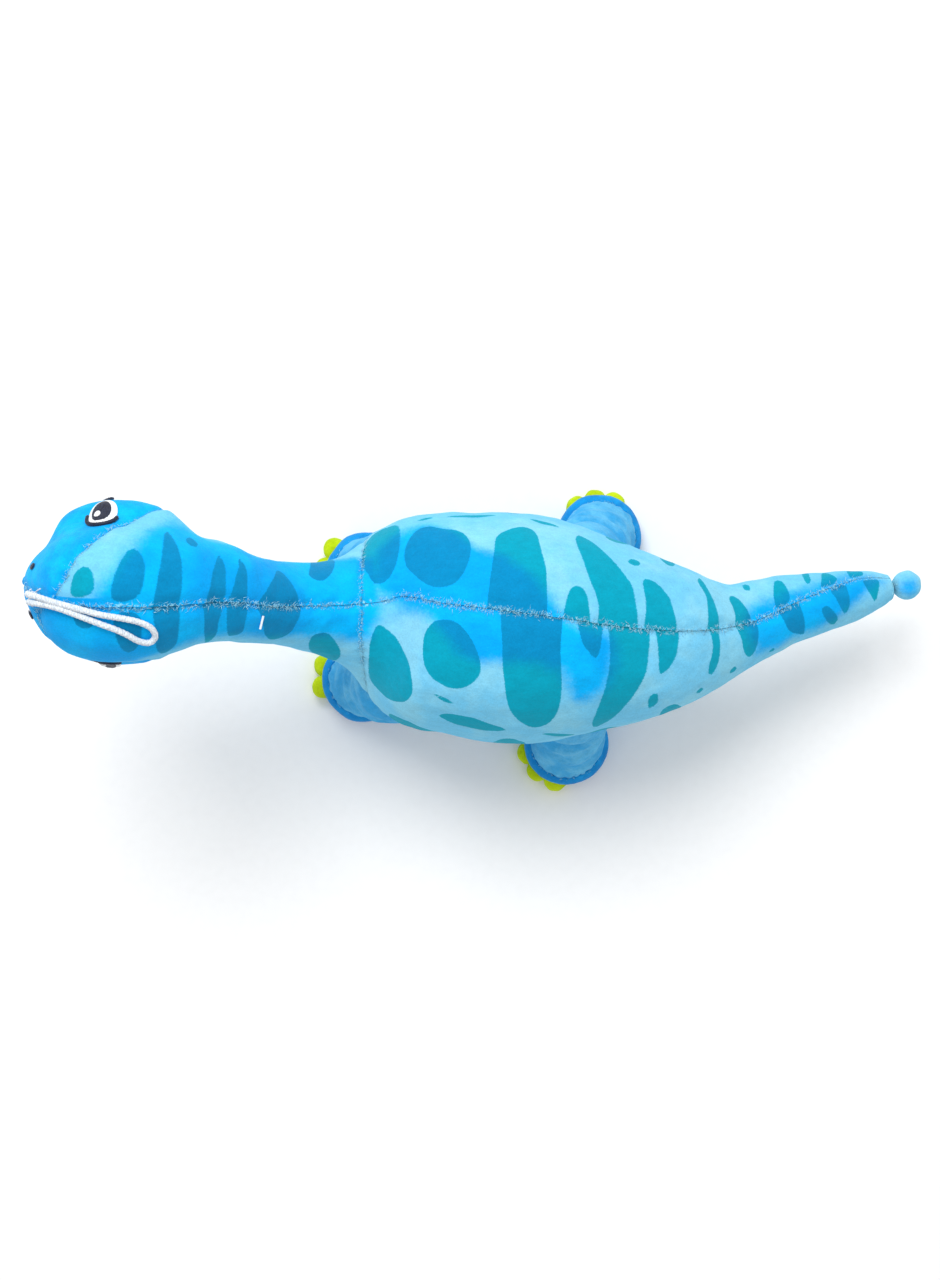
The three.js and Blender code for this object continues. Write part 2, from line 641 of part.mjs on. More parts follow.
function legForm({ hip, foot }) {
  const stations = [];
  const lean = (z) => {
    const share = THREE.MathUtils.clamp((hip[2] - z) / hip[2], 0, 1) ** 0.9;
    return [hip[0] + (foot[0] - hip[0]) * share, hip[1] + (foot[1] - hip[1]) * share, z];
  };
  for (const angle of [12, 35, 60, 90]) {
    const half = LEG_BALL * Math.sin(radians(angle));
    stations.push({ at: [hip[0], hip[1], hip[2] + LEG_BALL * Math.cos(radians(angle))], half });
  }
  stations.push({ at: lean(hip[2] - 10), half: LEG_SHAFT });
  stations.push({ at: lean(ANKLE_Z + 6), half: LEG_SHAFT - 0.2 });
  stations.push({ at: lean(ANKLE_Z), half: LEG_SHAFT + 0.6 });
  stations.push({ at: [...foot, ANKLE_Z - 5], half: FOOT_RADIUS - 0.4 });
  stations.push({ at: [...foot, ANKLE_Z - 10], half: FOOT_RADIUS });
  stations.push({ at: [...foot, SOLE_THICKNESS + SEAM_GAP], half: SOLE_RADIUS + 0.8 });
  return new Form(stations.map((s) => ({ ...s, up: s.half, down: s.half })), ROUND.leg, true);
}

function toeStrip({ foot, toes, tuck }, band) {
  let strip;
  const [half, rise] = [TOE.width / 2, TOE.height / 2];
  for (let i = 0; i < TOES; i++) {
    const angle = radians(toes + (i - (TOES - 1) / 2) * TOE_PITCH_DEG);
    const out = FOOT_RADIUS + TOE.reach - tuck - half;
    const at = [foot[0] + out * Math.cos(angle), foot[1] + out * Math.sin(angle), TOE.low + rise];
    const turn = new THREE.Quaternion().setFromAxisAngle(new THREE.Vector3(0, 0, 1), angle);
    const toe = ellipsoid(at, [half, half, rise], turn, 10, 7);
    strip = strip ? strip.add(toe) : toe;
  }
  const around = SOLE_RADIUS + SEAM_GAP;
  const room = new THREE.CylinderGeometry(around, around, 12, 24).rotateX(Math.PI / 2);
  room.translate(foot[0], foot[1], 0);
  return largest(strip.subtract(band).subtract(solidOf(room)));
}

function addLeg(name, leg) {
  const form = legForm(leg);
  const above = new THREE.BoxGeometry(300, 300, 300).translate(0, 0, 150 + ANKLE_Z + SEAM_GAP);
  const below = new THREE.BoxGeometry(300, 300, 300).translate(0, 0, ANKLE_Z - 150);
  const skin = openShell(form);
  add(`${name}_leg`, largest(skin.intersect(solidOf(above))), "blue_plush");
  add(`${name}_foot_band`, largest(skin.intersect(solidOf(below))), "foot_plush");
  add(`${name}_leg_filling`, form.filling(), "filling");
  const sole = new THREE.CylinderGeometry(SOLE_RADIUS, SOLE_RADIUS, SOLE_THICKNESS, 24);
  sole.rotateX(Math.PI / 2).translate(leg.foot[0], leg.foot[1], SOLE_THICKNESS / 2);
  add(`${name}_sole`, solidOf(sole), "belly_plush");
  add(`${name}_toes`, toeStrip(leg, form.solid(SEAM_GAP)), "toe_plush");
}

// A leg's skin: closed over the ball, and open at the sole.
function openShell(form) {
  const inside = form.solid(-SKIN);
  const plug = new THREE.BoxGeometry(60, 60, 8);
  const end = form.centres.getPoint(1);
  plug.translate(end.x, end.y, end.z - 4 + 0.01);
  return form.solid().subtract(inside).subtract(solidOf(plug));
}

addTorso();
addNeck();
addHead();
addLoop();
addTagPin();
addTail();
for (const [name, leg] of legs) addLeg(name, leg);

export default object;
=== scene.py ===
"""A stuffed long-necked dinosaur of printed plush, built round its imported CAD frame.

Lengths are millimetres until a mesh is made, and metres from there on. Every skin is a panel of one
long tube, from the nose to the tail: s is the distance along its centre line, and an angle is
measured from the spine seam, positive towards +Y, which is the dinosaur's right.
"""

import json
import math

import bpy
import numpy as np
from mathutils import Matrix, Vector


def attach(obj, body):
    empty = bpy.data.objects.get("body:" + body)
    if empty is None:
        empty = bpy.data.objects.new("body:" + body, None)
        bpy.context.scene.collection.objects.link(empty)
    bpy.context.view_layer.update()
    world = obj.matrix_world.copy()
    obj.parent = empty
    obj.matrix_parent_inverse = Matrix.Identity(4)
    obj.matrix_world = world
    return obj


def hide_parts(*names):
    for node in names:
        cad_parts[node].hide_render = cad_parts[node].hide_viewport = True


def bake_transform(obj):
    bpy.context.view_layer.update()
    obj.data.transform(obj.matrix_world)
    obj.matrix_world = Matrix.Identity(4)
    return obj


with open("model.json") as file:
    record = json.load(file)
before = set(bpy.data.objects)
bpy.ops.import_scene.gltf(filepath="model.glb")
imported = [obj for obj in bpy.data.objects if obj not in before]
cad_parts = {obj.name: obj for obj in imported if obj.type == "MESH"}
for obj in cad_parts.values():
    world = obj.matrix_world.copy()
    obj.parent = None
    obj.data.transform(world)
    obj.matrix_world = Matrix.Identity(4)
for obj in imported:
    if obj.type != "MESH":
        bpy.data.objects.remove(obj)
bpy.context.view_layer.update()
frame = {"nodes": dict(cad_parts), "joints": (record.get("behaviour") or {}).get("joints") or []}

MM = 0.001
ROOTS = {joint["name"]: np.array(joint["pos_m"]) / MM for joint in frame["joints"]}
LIMBS = ["front_left", "front_right", "hind_left", "hind_right"]

# ---------------------------------------------------------------- sizes

GRID = 1.5  # spacing of the points of a skin
SKIN = 1.1  # thickness of the plush
SEAM_GAP = 0.08  # between two panels at a seam
SEAM_DEPTH = 0.95  # how far a seam pulls the plush in
SEAM_WIDTH = 2.2
SEAM_RISE = 0.2  # height of the roll on each side of a seam
PUCKER = 0.45  # height of the puckers along a seam
NO_SEAM = 9.0  # a distance at which a seam no longer shows
STUFFING_GAP = 3.6  # from the plush's face to the filling
SQUARENESS = 2.2  # exponent of the oval sections
BELLY_SEAM = 122  # degrees from the spine
BELLY_POINT = (284, 314)  # where the belly panel narrows to a point, under the tail's root
CHIN_SEAM = 142
NECK_SEAM_X = -56.0  # the plane of the seam between neck and body
NECK_JOIN = 112.0  # the neck's rear and front skins meet here, where nothing bends
JOIN_LIP = 1.5  # how far each of those two runs on past the join
JOIN_DROP = 0.25  # how far a joined edge lies under its neighbour
TAIL_OPENING = 1.5  # the body's skins end this far before the tube does
NOSE_CAP = 1.5  # length of the round cap that closes the tube ahead of the nose
STEADY = 16.0  # length over which the sections' direction is averaged
LUMP_REACH = 26  # the furthest that a cheek or the jaw pushes the skin out
LUMP_FILLET = 5.0
LUMP_FADE = 16  # length over which the lumps fade out behind the head
HIP_DIP = 1.7  # how far the body's skin pulls in round a leg
HIP_FOLD = 0.8  # height of the folds that run out from a leg
FAR = 14.0  # the most that a depth inside an outline can be
OVER_SEAM = 14  # degrees that a spot runs past the spine seam
HOOD_BAND = 12.0  # width of the pale band behind the right hood seam
STITCH_PITCH = 0.75  # of the satin stitches
BRAID_PITCH = 3.6
FIBRE_RADIUS = 0.16  # of the loose fibres along the seams

SIDES = (("right", 1), ("left", -1))
SEWN, JOINED = "sewn", "joined"  # a sewn edge dips into a seam, and a joined one passes under its neighbour

# The filling of each part: from one s to another, and the body that it rides on.
STUFFINGS = [("head", 2, 74, "head"), ("neck", 90, 130, "neck"), ("body", 160, 292, "torso"),
             ("tail", 320, 388, "tail")]

# Sections of the tube: x, y, z from the root, half width, height over and under the centre, roll.
HEAD_ROLL = -16
HEAD_SECTIONS = [
    (-72.6, 4.4, 6.5, 2, 2, 2, HEAD_ROLL),
    (-70.5, 4, 6.8, 7, 6.5, 5.5, HEAD_ROLL),
    (-67, 3.2, 7.8, 12, 11, 9.5, HEAD_ROLL),
    (-63, 2.4, 9.1, 15.8, 14.8, 12, HEAD_ROLL),
    (-59, 1.8, 10.5, 19, 18, 14, HEAD_ROLL),
    (-53, 1.2, 12.5, 22.8, 21.5, 17, HEAD_ROLL),
    (-45, 0.6, 14.5, 25.8, 24.5, 20, HEAD_ROLL),
    (-36, 0.3, 16, 27.2, 26, 22, HEAD_ROLL),
    (-28, 0.3, 15.5, 27, 25.5, 22, HEAD_ROLL),
    (-20, 0.3, 13, 25.5, 23.7, 21.5, HEAD_ROLL),
    (-13, 0.2, 9.5, 23, 21.7, 20.5, -14),
    (-7.5, 0.1, 5.8, 20.6, 19.8, 19.4, -12),
]
NECK_SECTIONS = [
    (-54, 5.6, 50.5, 19.3, 19.3, 19.3, -10),
    (-46.5, 4.2, 42, 17.7, 18.2, 18.2, -7),
    (-39, 3, 33, 16.9, 17.6, 17.6, -4),
    (-31, 2, 24, 16.8, 17.6, 17.6, 0),
    (-23, 1.2, 16, 17.7, 18.6, 18.6, 2),
    (-16, 0.6, 10, 19, 19.8, 19.8, 4),
]
TORSO_SECTIONS = [
    (-58, 13, 84, 26.5, 26, 26, 8),
    (-52.5, 13.4, 81, 32.5, 30.5, 33, 10),
    (-47.5, 13, 79, 37.5, 34.5, 39, 10),
    (-42, 11.8, 77.5, 41.5, 38.5, 44.5, 10),
    (-33, 9.3, 76, 45, 42.5, 47.5, 10),
    (-16, 6.7, 75, 46.8, 47, 48.5, 9),
    (1, 5, 75, 48.3, 49, 49, 8),
    (17, 3.9, 75, 47.7, 49, 48.5, 7),
    (30, 3.2, 75.5, 45, 47, 47, 6),
    (43, 2.3, 76, 41.2, 43, 44, 5),
    (59.5, 1.6, 75.5, 36.3, 36.5, 38, 4),
    (76.5, 2, 73, 29.6, 29, 30.5, 3),
    (85, 2.6, 71, 25.6, 25, 26, 3),
    (92, 3.5, 69, 22, 21.5, 22, 3),
]
TAIL_SECTIONS = [
    (10.5, 2.5, -3, 18, 17.6, 17.6, 2),
    (19, 5.3, -5.6, 16.5, 16.2, 16.2, 3),
    (29.5, 8.9, -9, 15, 14.8, 14.8, 8),
    (40, 11.3, -12, 13.8, 13.6, 13.6, 17),
    (51, 13.5, -15, 12.2, 12.2, 12.2, 30),
    (66, 16.7, -19, 9.4, 9.4, 9.4, 44),
    (74.5, 18.5, -21, 7.2, 7.2, 7.2, 46),
    (80.3, 19.5, -22.2, 5.2, 5.2, 5.2, 46),
]

# The seam round the face, as (angle, s), on either side of the head.
HOOD_SEAM_RIGHT = [(0, 22), (20, 27), (40, 30), (60, 35), (75, 38), (92, 45), (112, 57), (135, 70), (180, 74)]
HOOD_SEAM_LEFT = [(0, 18), (20, 14), (45, 15), (65, 21), (83, 35), (95, 50), (112, 62), (135, 71), (180, 74)]

# Lumps of the head, ahead of its root, to the side and below the skull's middle, with their half-axes.
CHEEK = {"along": 36, "side": 17.5, "below": 12.5, "size": (26.5, 16, 13)}
JAW = {"along": 40, "side": 0, "below": 17, "size": (27, 18.5, 11)}

EYE = {"s": 33.5, "angle": 95, "white": (5.5, 6.3), "pupil": (3.7, 4.5), "glint": 1.2}
NOSTRIL = {"s": 8, "angle": 40, "radius": 1.6}
MOUTH = [(35, 116), (29, 123), (22, 131), (15, 142), (11, 158), (10, 180)]

# The hanging loop, in metres, as the CAD has it.
LOOP_DIAMETER = 0.0024
LOOP_ROUTE = [
    (-0.1794, 0.0176, 0.1606), (-0.1784, 0.0172, 0.1642), (-0.1735, 0.0159, 0.1681),
    (-0.1670, 0.0140, 0.1718), (-0.1603, 0.0123, 0.1748), (-0.1545, 0.0108, 0.1764),
    (-0.1487, 0.0093, 0.1766), (-0.1400, 0.0078, 0.1755), (-0.1348, 0.0065, 0.1739),
    (-0.1310, 0.0044, 0.1715), (-0.1299, 0.0013, 0.1689), (-0.1322, -0.0010, 0.1681),
    (-0.1359, -0.0004, 0.1701), (-0.1396, 0.0018, 0.1725), (-0.1434, 0.0037, 0.1741),
    (-0.1482, 0.0055, 0.1751), (-0.1563, 0.0086, 0.1752), (-0.1635, 0.0112, 0.1730),
    (-0.1690, 0.0127, 0.1701), (-0.1740, 0.0136, 0.1671), (-0.1780, 0.0142, 0.1640),
    (-0.1792, 0.0144, 0.1602),
]

# Legs: the foot from the hip, the way the toes point, and how far they are tucked under the band.
LEG_BALL = 18.0
LEG_SHAFT = 16.6
ANKLE = 16.0
FOOT_RADIUS = 19.4
SOLE_RADIUS = 17.6
SOLE_THICKNESS = 2.0
SOLE_PROFILE = [(0.2, 2.0), (0.7, 2.0), (0.93, 1.95), (1.0, 1.5), (1.0, 0.9), (0.97, 0.35), (0.9, 0.08),
                (0.75, 0.0), (0.45, 0.0), (0.15, 0.0)]  # shares of its radius, and heights
LEG_FILL_DROP = 17  # the leg's filling starts this far under the hip
LEGS = {
    "front_left": {"foot": (-14, 0.5), "toes": 161, "tuck": 0},
    "front_right": {"foot": (-13.5, -0.5), "toes": 172, "tuck": 0},
    "hind_left": {"foot": (0, -18.8), "toes": 225, "tuck": 1.4},
    "hind_right": {"foot": (9, 13), "toes": 96, "tuck": 2.6},
}
TOE_PITCH = 29
TOE = {"width": 11.0, "height": 8.6, "reach": 5.4, "low": 0.6}
TAIL_TIP = {"at": (87, 20.5, -23.4), "radius": 6.4}

# Printed spots as outlines of (s, angle). An angle of 0 means that the spot runs up to the seam.
SPOTS_RIGHT = [
    [(29.5, 8), (30, 24), (33, 32), (35.5, 26), (36, 12), (33, 7)],
    [(40.5, 6), (41.5, 30), (45, 50), (48, 34), (46.5, 8)],
    [(50, 0), (52, 40), (54.5, 76), (57.5, 40), (56, 0)],
    [(60, 65), (62, 74), (64, 64), (62, 57)],
    [(65, 0), (66.5, 20), (68.5, 40), (71, 55), (72.3, 40), (72, 20), (71.5, 0)],
    [(73.5, 0), (75, 20), (77, 40), (78.5, 55), (80.3, 40), (80.3, 20), (80, 0)],
    [(86, 0), (90, 20), (95, 40), (99, 54), (103, 40), (106, 20), (109, 0)],
    [(117, 45), (120, 34), (125, 36), (132, 52), (138, 80), (134, 96), (128, 88), (121, 64)],
    [(148, 20), (146.5, 45), (150, 68), (155, 84), (159, 84), (163, 66), (161.5, 42), (158, 22), (153, 15)],
    [(162, 25), (163, 35), (167, 45), (172, 48), (182, 44), (192, 40), (196.5, 30), (195, 17), (190, 9),
     (180, 6), (170, 8), (163.5, 16)],
    [(169, 60), (172, 62), (176, 61), (172, 58)],
    [(180, 61), (194, 63.5), (208, 62), (194, 59)],
    [(222.5, 61), (230, 61), (237.5, 57), (229, 57)],
    [(209, 0), (208, 30), (209, 40), (214, 46), (221, 50), (226, 46), (229, 32), (232, 16), (231, 0)],
    [(239.5, 0), (241, 10), (245, 16), (249, 10), (250.5, 0)],
    [(243.5, 52), (245, 55), (250, 51), (257, 42), (263, 30), (266, 18), (266.5, 0), (253.5, 0),
     (253, 8), (249, 22), (245, 38), (243.3, 47)],
    [(264, 43), (266, 48), (269, 46), (267.5, 41)],
    [(270, 0), (270, 15), (269.3, 30), (273, 32), (277.5, 26), (280, 15), (281.5, 0)],
    [(297, 54), (294.5, 46), (296, 30), (295, 15), (293.5, 0), (299, 0), (299.5, 18), (298.5, 36)],
    [(308, 0), (309, 15), (308.5, 30), (310.5, 37), (313, 35), (315.5, 22), (317, 0)],
    [(320, 52), (322, 66), (324, 58), (322, 46)],
    [(330.5, 4), (331, 22), (334, 42), (336.5, 52), (338.5, 42), (338.5, 20), (337, 5)],
    [(348.5, 22), (349, 40), (351.5, 64), (354, 60), (352.5, 40), (351, 24)],
    [(355, 6), (357, 25), (359.5, 45), (361.5, 50), (363, 30), (363.5, 8)],
    [(371, 8), (372, 40), (375, 44), (378.5, 24), (377, 8)],
    # The sides that face down
    [(176, 84), (182, 78), (190, 84), (193, 98), (188, 110), (179, 104)],
    [(212, 76), (217, 72), (223, 80), (226, 98), (222, 113), (215, 106)],
    [(236, 82), (242, 76), (246, 88), (246, 106), (240, 112), (235, 98)],
    [(256, 70), (261, 66), (268, 78), (272, 96), (267, 104), (259, 90)],
    [(280, 62), (284, 58), (288, 74), (290, 96), (286, 104), (281, 84)],
    [(302, 92), (304, 84), (308, 92), (310, 116), (306, 128), (302, 112)],
    [(325, 92), (328, 84), (331, 98), (331, 124), (327, 128), (324, 110)],
    [(342, 92), (345, 90), (347, 112), (344, 124), (341, 108)],
    [(62, 112), (66, 102), (72, 108), (76, 128), (70, 136), (63, 126)],
    [(90, 96), (95, 84), (101, 96), (104, 122), (98, 134), (91, 118)],
]
SPOTS_LEFT = [
    [(30, -4), (31, -14), (34, -16), (36, -10), (35, -4)],
    [(41, -5), (41.5, -28), (44, -42), (47, -32), (47, -6)],
    [(50, 0), (51, -20), (52, -40), (55, -56), (58, -42), (57.8, -20), (56, 0)],
    [(64, 0), (66, -20), (68.5, -42), (73, -68), (73, -42), (71.5, -20), (71, 0)],
    [(73, 0), (74.5, -20), (77, -38), (80, -47), (83.5, -38), (82, -20), (81, 0)],
    [(85, 0), (91, -20), (96, -40), (103, -52), (108, -40), (109, -20), (109, 0)],
    [(121, -42), (125, -36), (130, -40), (139, -66), (143, -98), (137, -104), (129, -84), (123, -62)],
    [(149, -26), (151, -20), (156, -25), (164, -32), (172, -38), (178, -50), (176, -62), (169, -74),
     (161, -86), (156, -84), (151, -62), (148.5, -40)],
    [(177, -18), (180, -10), (186, -7), (194, -7.5), (201, -13), (206, -22), (207, -30), (203, -38),
     (196, -41.5), (187, -38), (180, -30)],
    [(188.5, -47.5), (193, -48), (198, -51), (194, -51.5)],
    [(193, -66), (197, -61), (205, -60), (214, -63), (219.5, -67), (213, -71), (201, -71)],
    [(234, -71.5), (238, -72), (244, -76.5), (248.5, -82), (244, -81.5), (238, -77)],
    [(214, 0), (215, -15), (217, -32), (220, -48), (225, -58), (231, -63), (236, -60), (240, -50),
     (241, -35), (239.5, -15), (237, 0)],
    [(243.5, 0), (247, -7), (250.5, -14), (253, -17), (254.5, -10), (254.5, 0)],
    [(257, 0), (258, -15), (257.5, -30), (255.5, -48), (254, -64), (255.5, -74), (260, -66), (265, -50),
     (269, -34), (271, -18), (270, 0)],
    [(272.5, -46), (275, -42), (276, -52), (273.5, -58)],
    [(273.5, 0), (274.5, -14), (275, -25), (276.5, -27.5), (279.5, -21), (281.5, -10), (282, 0)],
    [(295, 0), (295.5, -15), (294, -30), (294.5, -40), (296.5, -38), (298.5, -25), (299, 0)],
    [(308.5, 0), (309.5, -15), (310.5, -32), (313, -43), (315.5, -40), (317.5, -25), (319, 0)],
    [(290.5, -56), (292, -52), (293.5, -57), (292, -61)],
    [(304, -50), (306, -46), (307.5, -52), (305.5, -56)],
    [(323.5, -57), (325, -52), (326.5, -58), (325, -62)],
    [(331, 0), (332, -20), (334.5, -40), (339, -55), (342, -63), (342, -40), (341.5, -15), (341, 0)],
    [(351, -28), (352, -45), (355, -68), (358, -82), (359.5, -70), (357, -45), (354, -28)],
    [(358.5, -4), (359.5, -30), (361.5, -55), (363.5, -67), (365.5, -50), (366, -20), (366, -4)],
    [(376, -8), (375.5, -25), (377, -50), (379.5, -76), (381.5, -50), (383, -30), (383, -8)],
    # The sides that face down
    [(174, -92), (181, -84), (190, -90), (195, -104), (188, -113), (178, -106)],
    [(216, -88), (221, -80), (227, -86), (229, -102), (223, -112), (216, -104)],
    [(252, -92), (257, -84), (264, -88), (268, -104), (262, -110), (254, -104)],
    [(279, -66), (283, -62), (287, -76), (289, -96), (285, -104), (280, -86)],
    [(300, -84), (303, -80), (307, -94), (308, -118), (303, -126), (299, -104)],
    [(319, -94), (323, -86), (327, -100), (327, -124), (322, -130), (318, -112)],
    [(344, -98), (347, -92), (349, -112), (346, -126), (343, -112)],
    [(60, -110), (64, -100), (70, -106), (74, -126), (69, -136), (61, -126)],
    [(88, -92), (93, -80), (99, -92), (103, -118), (97, -132), (89, -114)],
]

# Painted sheen: where the pile is painted deep azure, and pale outside, standing in for the sheen of the
# velvet; outlines of (s, angle) across both sides.
PAINTED_SHEEN_OUTLINES = [
    [(12, -60), (16, 40), (40, 88), (62, 92), (100, 90), (135, 82), (151, 50), (152, 10), (150, -20),
     (146, -40), (120, -44), (90, -46), (62, -48), (44, -66), (24, -80)],
    [(147, 14), (152, 46), (165, 52), (180, 46), (198, 30), (215, 25), (229, 12), (240, 2), (252, -2),
     (259, -8), (258, -36), (246, -44), (240, -26), (225, -22), (205, -24), (192, -16), (176, -8),
     (158, -6)],
    [(313, 8), (322, 24), (330, 18), (345, 17), (366, 14), (380, 6), (386, -20), (372, -50), (350, -64),
     (330, -60), (317, -40)],
]

# ---------------------------------------------------------------- small helpers


def unit(vectors):
    return vectors / np.linalg.norm(vectors, axis=-1, keepdims=True)


def turns(count):
    """Angles at equal steps once round."""
    return np.arange(count) * 2 * math.pi / count


def signed(angle):
    return (angle + 180) % 360 - 180


def bell(distance, width):
    return np.exp(-((distance / width) ** 2))


def run_lengths(path):
    """The distance along a path to each of its points."""
    return np.concatenate([[0], np.cumsum(np.linalg.norm(np.diff(path, axis=0), axis=1))])


def curve(before, start, end, after, t):
    """The place at t between start and end, on a smooth curve through all four."""
    bend = (end - before) * t + (2 * before - 5 * start + 4 * end - after) * t**2
    return start + 0.5 * (bend + (3 * start - before - 3 * end + after) * t**3)


def smooth_line(points, count):
    """Points spaced evenly along a smooth curve through the given ones."""
    points = np.array(points, float)
    ghost = np.vstack([2 * points[0] - points[1], points, 2 * points[-1] - points[-2]])
    fine = [curve(*ghost[i - 1 : i + 3], t) for i in range(1, len(points)) for t in np.arange(16) / 16]
    fine = np.array(fine + [points[-1]])
    length = run_lengths(fine)
    places = np.linspace(0, length[-1], count)
    return np.stack([np.interp(places, length, fine[:, k]) for k in range(points.shape[1])], axis=1)


def ripple(points, size, seed, waves=8):
    """Smooth noise between about -1 and 1, whose waves are about size long."""
    rng = np.random.default_rng(seed)
    total = np.zeros(points.shape[:-1])
    for _ in range(waves):
        way = unit(rng.normal(size=3))
        turn = 2 * math.pi / (size * rng.uniform(0.7, 1.5))
        total += np.sin(points @ way * turn + rng.uniform(0, 2 * math.pi))
    return total / math.sqrt(waves) / 1.2


def add_object(name, data):
    thing = bpy.data.objects.new(name, data)
    bpy.context.scene.collection.objects.link(thing)
    return thing


def settle(piece, body, node):
    """The piece rides on a body and stands for a node."""
    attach(piece, body)
    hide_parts(node)


# ---------------------------------------------------------------- camera and light

CAMERA_AT = (-0.012, 0.0, 0.9)
CAMERA_LENS = 54.9
TOY_MIDDLE = (0, 0, 0.07)
WORLD_STRENGTH = 0.66
FLOOR_HALF = 6.0


def make_camera():
    data = bpy.data.cameras.new("camera")
    data.lens = CAMERA_LENS
    data.clip_start = 0.01
    camera = add_object("camera", data)
    camera.location = CAMERA_AT
    bpy.context.scene.camera = camera


def area_light(name, at, size, power):
    data = bpy.data.lights.new(name, "AREA")
    data.shape = "DISK"
    data.size = size
    data.energy = power
    light = add_object(name, data)
    light.location = at
    light.rotation_euler = (Vector(TOY_MIDDLE) - Vector(at)).to_track_quat("-Z", "Y").to_euler()


def make_light():
    bpy.context.scene.view_settings.view_transform = "Standard"
    world = bpy.data.worlds.new("studio")
    world.use_nodes = True
    sky = world.node_tree.nodes["Background"]
    sky.inputs["Color"].default_value = (1, 1, 1, 1)
    sky.inputs["Strength"].default_value = WORLD_STRENGTH
    bpy.context.scene.world = world
    area_light("key", (-0.25, 0.75, 1.35), 0.9, 17)
    area_light("fill", (0.9, -0.5, 1.3), 1.2, 1)


def make_floor():
    mesh = bpy.data.meshes.new("floor")
    corners = [(x * FLOOR_HALF, y * FLOOR_HALF, 0) for x, y in ((-1, -1), (1, -1), (1, 1), (-1, 1))]
    mesh.from_pydata(corners, [], [(0, 1, 2, 3)])
    floor = add_object("floor", mesh)
    shades = Nodes("floor_paper")
    tint = shades.ramp(shades.noise(220, detail=3), (0.3, (0.93,) * 3), (0.7, (0.95,) * 3))
    mesh.materials.append(shades.surface(tint, roughness=0.9, specular=0.1))


# ---------------------------------------------------------------- materials


def linear(red, green, blue):
    """A screen colour, 0 to 255, as scene-linear values."""
    shares = [channel / 255 for channel in (red, green, blue)]
    return tuple(c / 12.92 if c <= 0.04045 else ((c + 0.055) / 1.055) ** 2.4 for c in shares)


class Nodes:
    """A node material being built."""

    def __init__(self, name):
        self.material = bpy.data.materials.new(name)
        self.material.use_nodes = True
        self.tree = self.material.node_tree
        self.place = self.tree.nodes.new("ShaderNodeTexCoord").outputs["Object"]

    def feed(self, node, values):
        """Give a node's inputs their numbers, colours or links."""
        for key, value in values.items():
            socket = node.inputs[key]
            if isinstance(value, bpy.types.NodeSocket):
                self.tree.links.new(value, socket)
            else:
                socket.default_value = (*value, 1) if socket.type == "RGBA" else value

    def node(self, kind, values, **settings):
        node = self.tree.nodes.new("ShaderNode" + kind)
        for key, value in settings.items():
            setattr(node, key, value)
        self.feed(node, values)
        return node

    def attribute(self, name):
        return self.node("Attribute", {}, attribute_name=name).outputs["Fac"]

    def noise(self, scale, detail=2, rough=0.5, stretch=None):
        place = self.place
        if stretch:
            place = self.node("Mapping", {"Vector": place, "Scale": stretch}).outputs["Vector"]
        values = {"Vector": place, "Scale": scale, "Detail": detail, "Roughness": rough}
        return self.node("TexNoise", values).outputs["Fac"]

    def math(self, operation, *values):
        return self.node("Math", dict(enumerate(values)), operation=operation).outputs[0]

    def step(self, value, low, high):
        """0 at low, 1 at high, and smooth between."""
        values = {"Value": value, "From Min": low, "From Max": high}
        return self.node("MapRange", values, interpolation_type="SMOOTHSTEP", clamp=True).outputs["Result"]

    def mix(self, share, first, second, blend="MIX"):
        values = {0: share, 6: first, 7: second}
        return self.node("Mix", values, data_type="RGBA", blend_type=blend).outputs[2]

    def ramp(self, value, *stops):
        """A colour that goes from one stop to the other, each a position and a colour."""
        node = self.node("ValToRGB", {"Fac": value})
        for element, (position, colour) in zip(node.color_ramp.elements, stops):
            element.position = position
            element.color = (*colour, 1)
        return node.outputs["Color"]

    def bump(self, height, distance, strength, under=None):
        values = {"Height": height, "Distance": distance, "Strength": strength}
        if under:
            values["Normal"] = under
        return self.node("Bump", values).outputs["Normal"]

    def surface(self, colour, roughness, specular, sheen=0.0, tint=(1, 1, 1), normal=None):
        values = {"Base Color": colour, "Roughness": roughness, "Specular IOR Level": specular}
        values.update({"Sheen Weight": sheen, "Sheen Roughness": 0.45, "Sheen Tint": tint})
        if normal:
            values["Normal"] = normal
        self.feed(self.tree.nodes["Principled BSDF"], values)
        return self.material


# pale and azure are the two ends of the painted sheen, and teal is darkened where the sheen is painted azure
PALE = linear(112, 197, 235)
PALE_WORN = linear(133, 205, 232)
AZURE_COLOUR = linear(0, 180, 246)
AZURE_DEEP = linear(0, 162, 238)
TEAL = linear(0, 156, 184)
TEAL_AZURE = linear(0, 134, 188)
# pale of the seam fuzz, which also serves as painted highlight on the seam ridges
FUZZ_AND_GLINT = linear(158, 226, 248)


def pile_bump(shades, seam=None):
    """Short pile: soft folds, the clumps that fibres fall into, fine fibres, and tufts in the seams."""
    normal = shades.bump(shades.noise(70, detail=2), 0.0016, 0.35)
    normal = shades.bump(shades.noise(420, detail=4, rough=0.65), 0.0006, 0.45, normal)
    normal = shades.bump(shades.noise(2100, detail=3, rough=0.7), 0.00025, 0.5, normal)
    if seam:
        normal = shades.bump(seam, 0.0008, 0.6, normal)
    return normal


def worn(shades, colour, amount=0.14):
    """Lighter and darker strokes where the pile was brushed one way or the other."""
    strokes = shades.noise(330, detail=5, rough=0.72, stretch=(0.45, 1.0, 1.0))
    specks = shades.noise(1500, detail=2, rough=0.6)
    both = shades.math("MULTIPLY_ADD", specks, 0.55, shades.math("MULTIPLY", strokes, 0.6))
    light = shades.ramp(both, (0.36, (1 - amount,) * 3), (0.74, (1 + amount * 0.8,) * 3))
    return shades.mix(1.0, colour, light, "MULTIPLY")


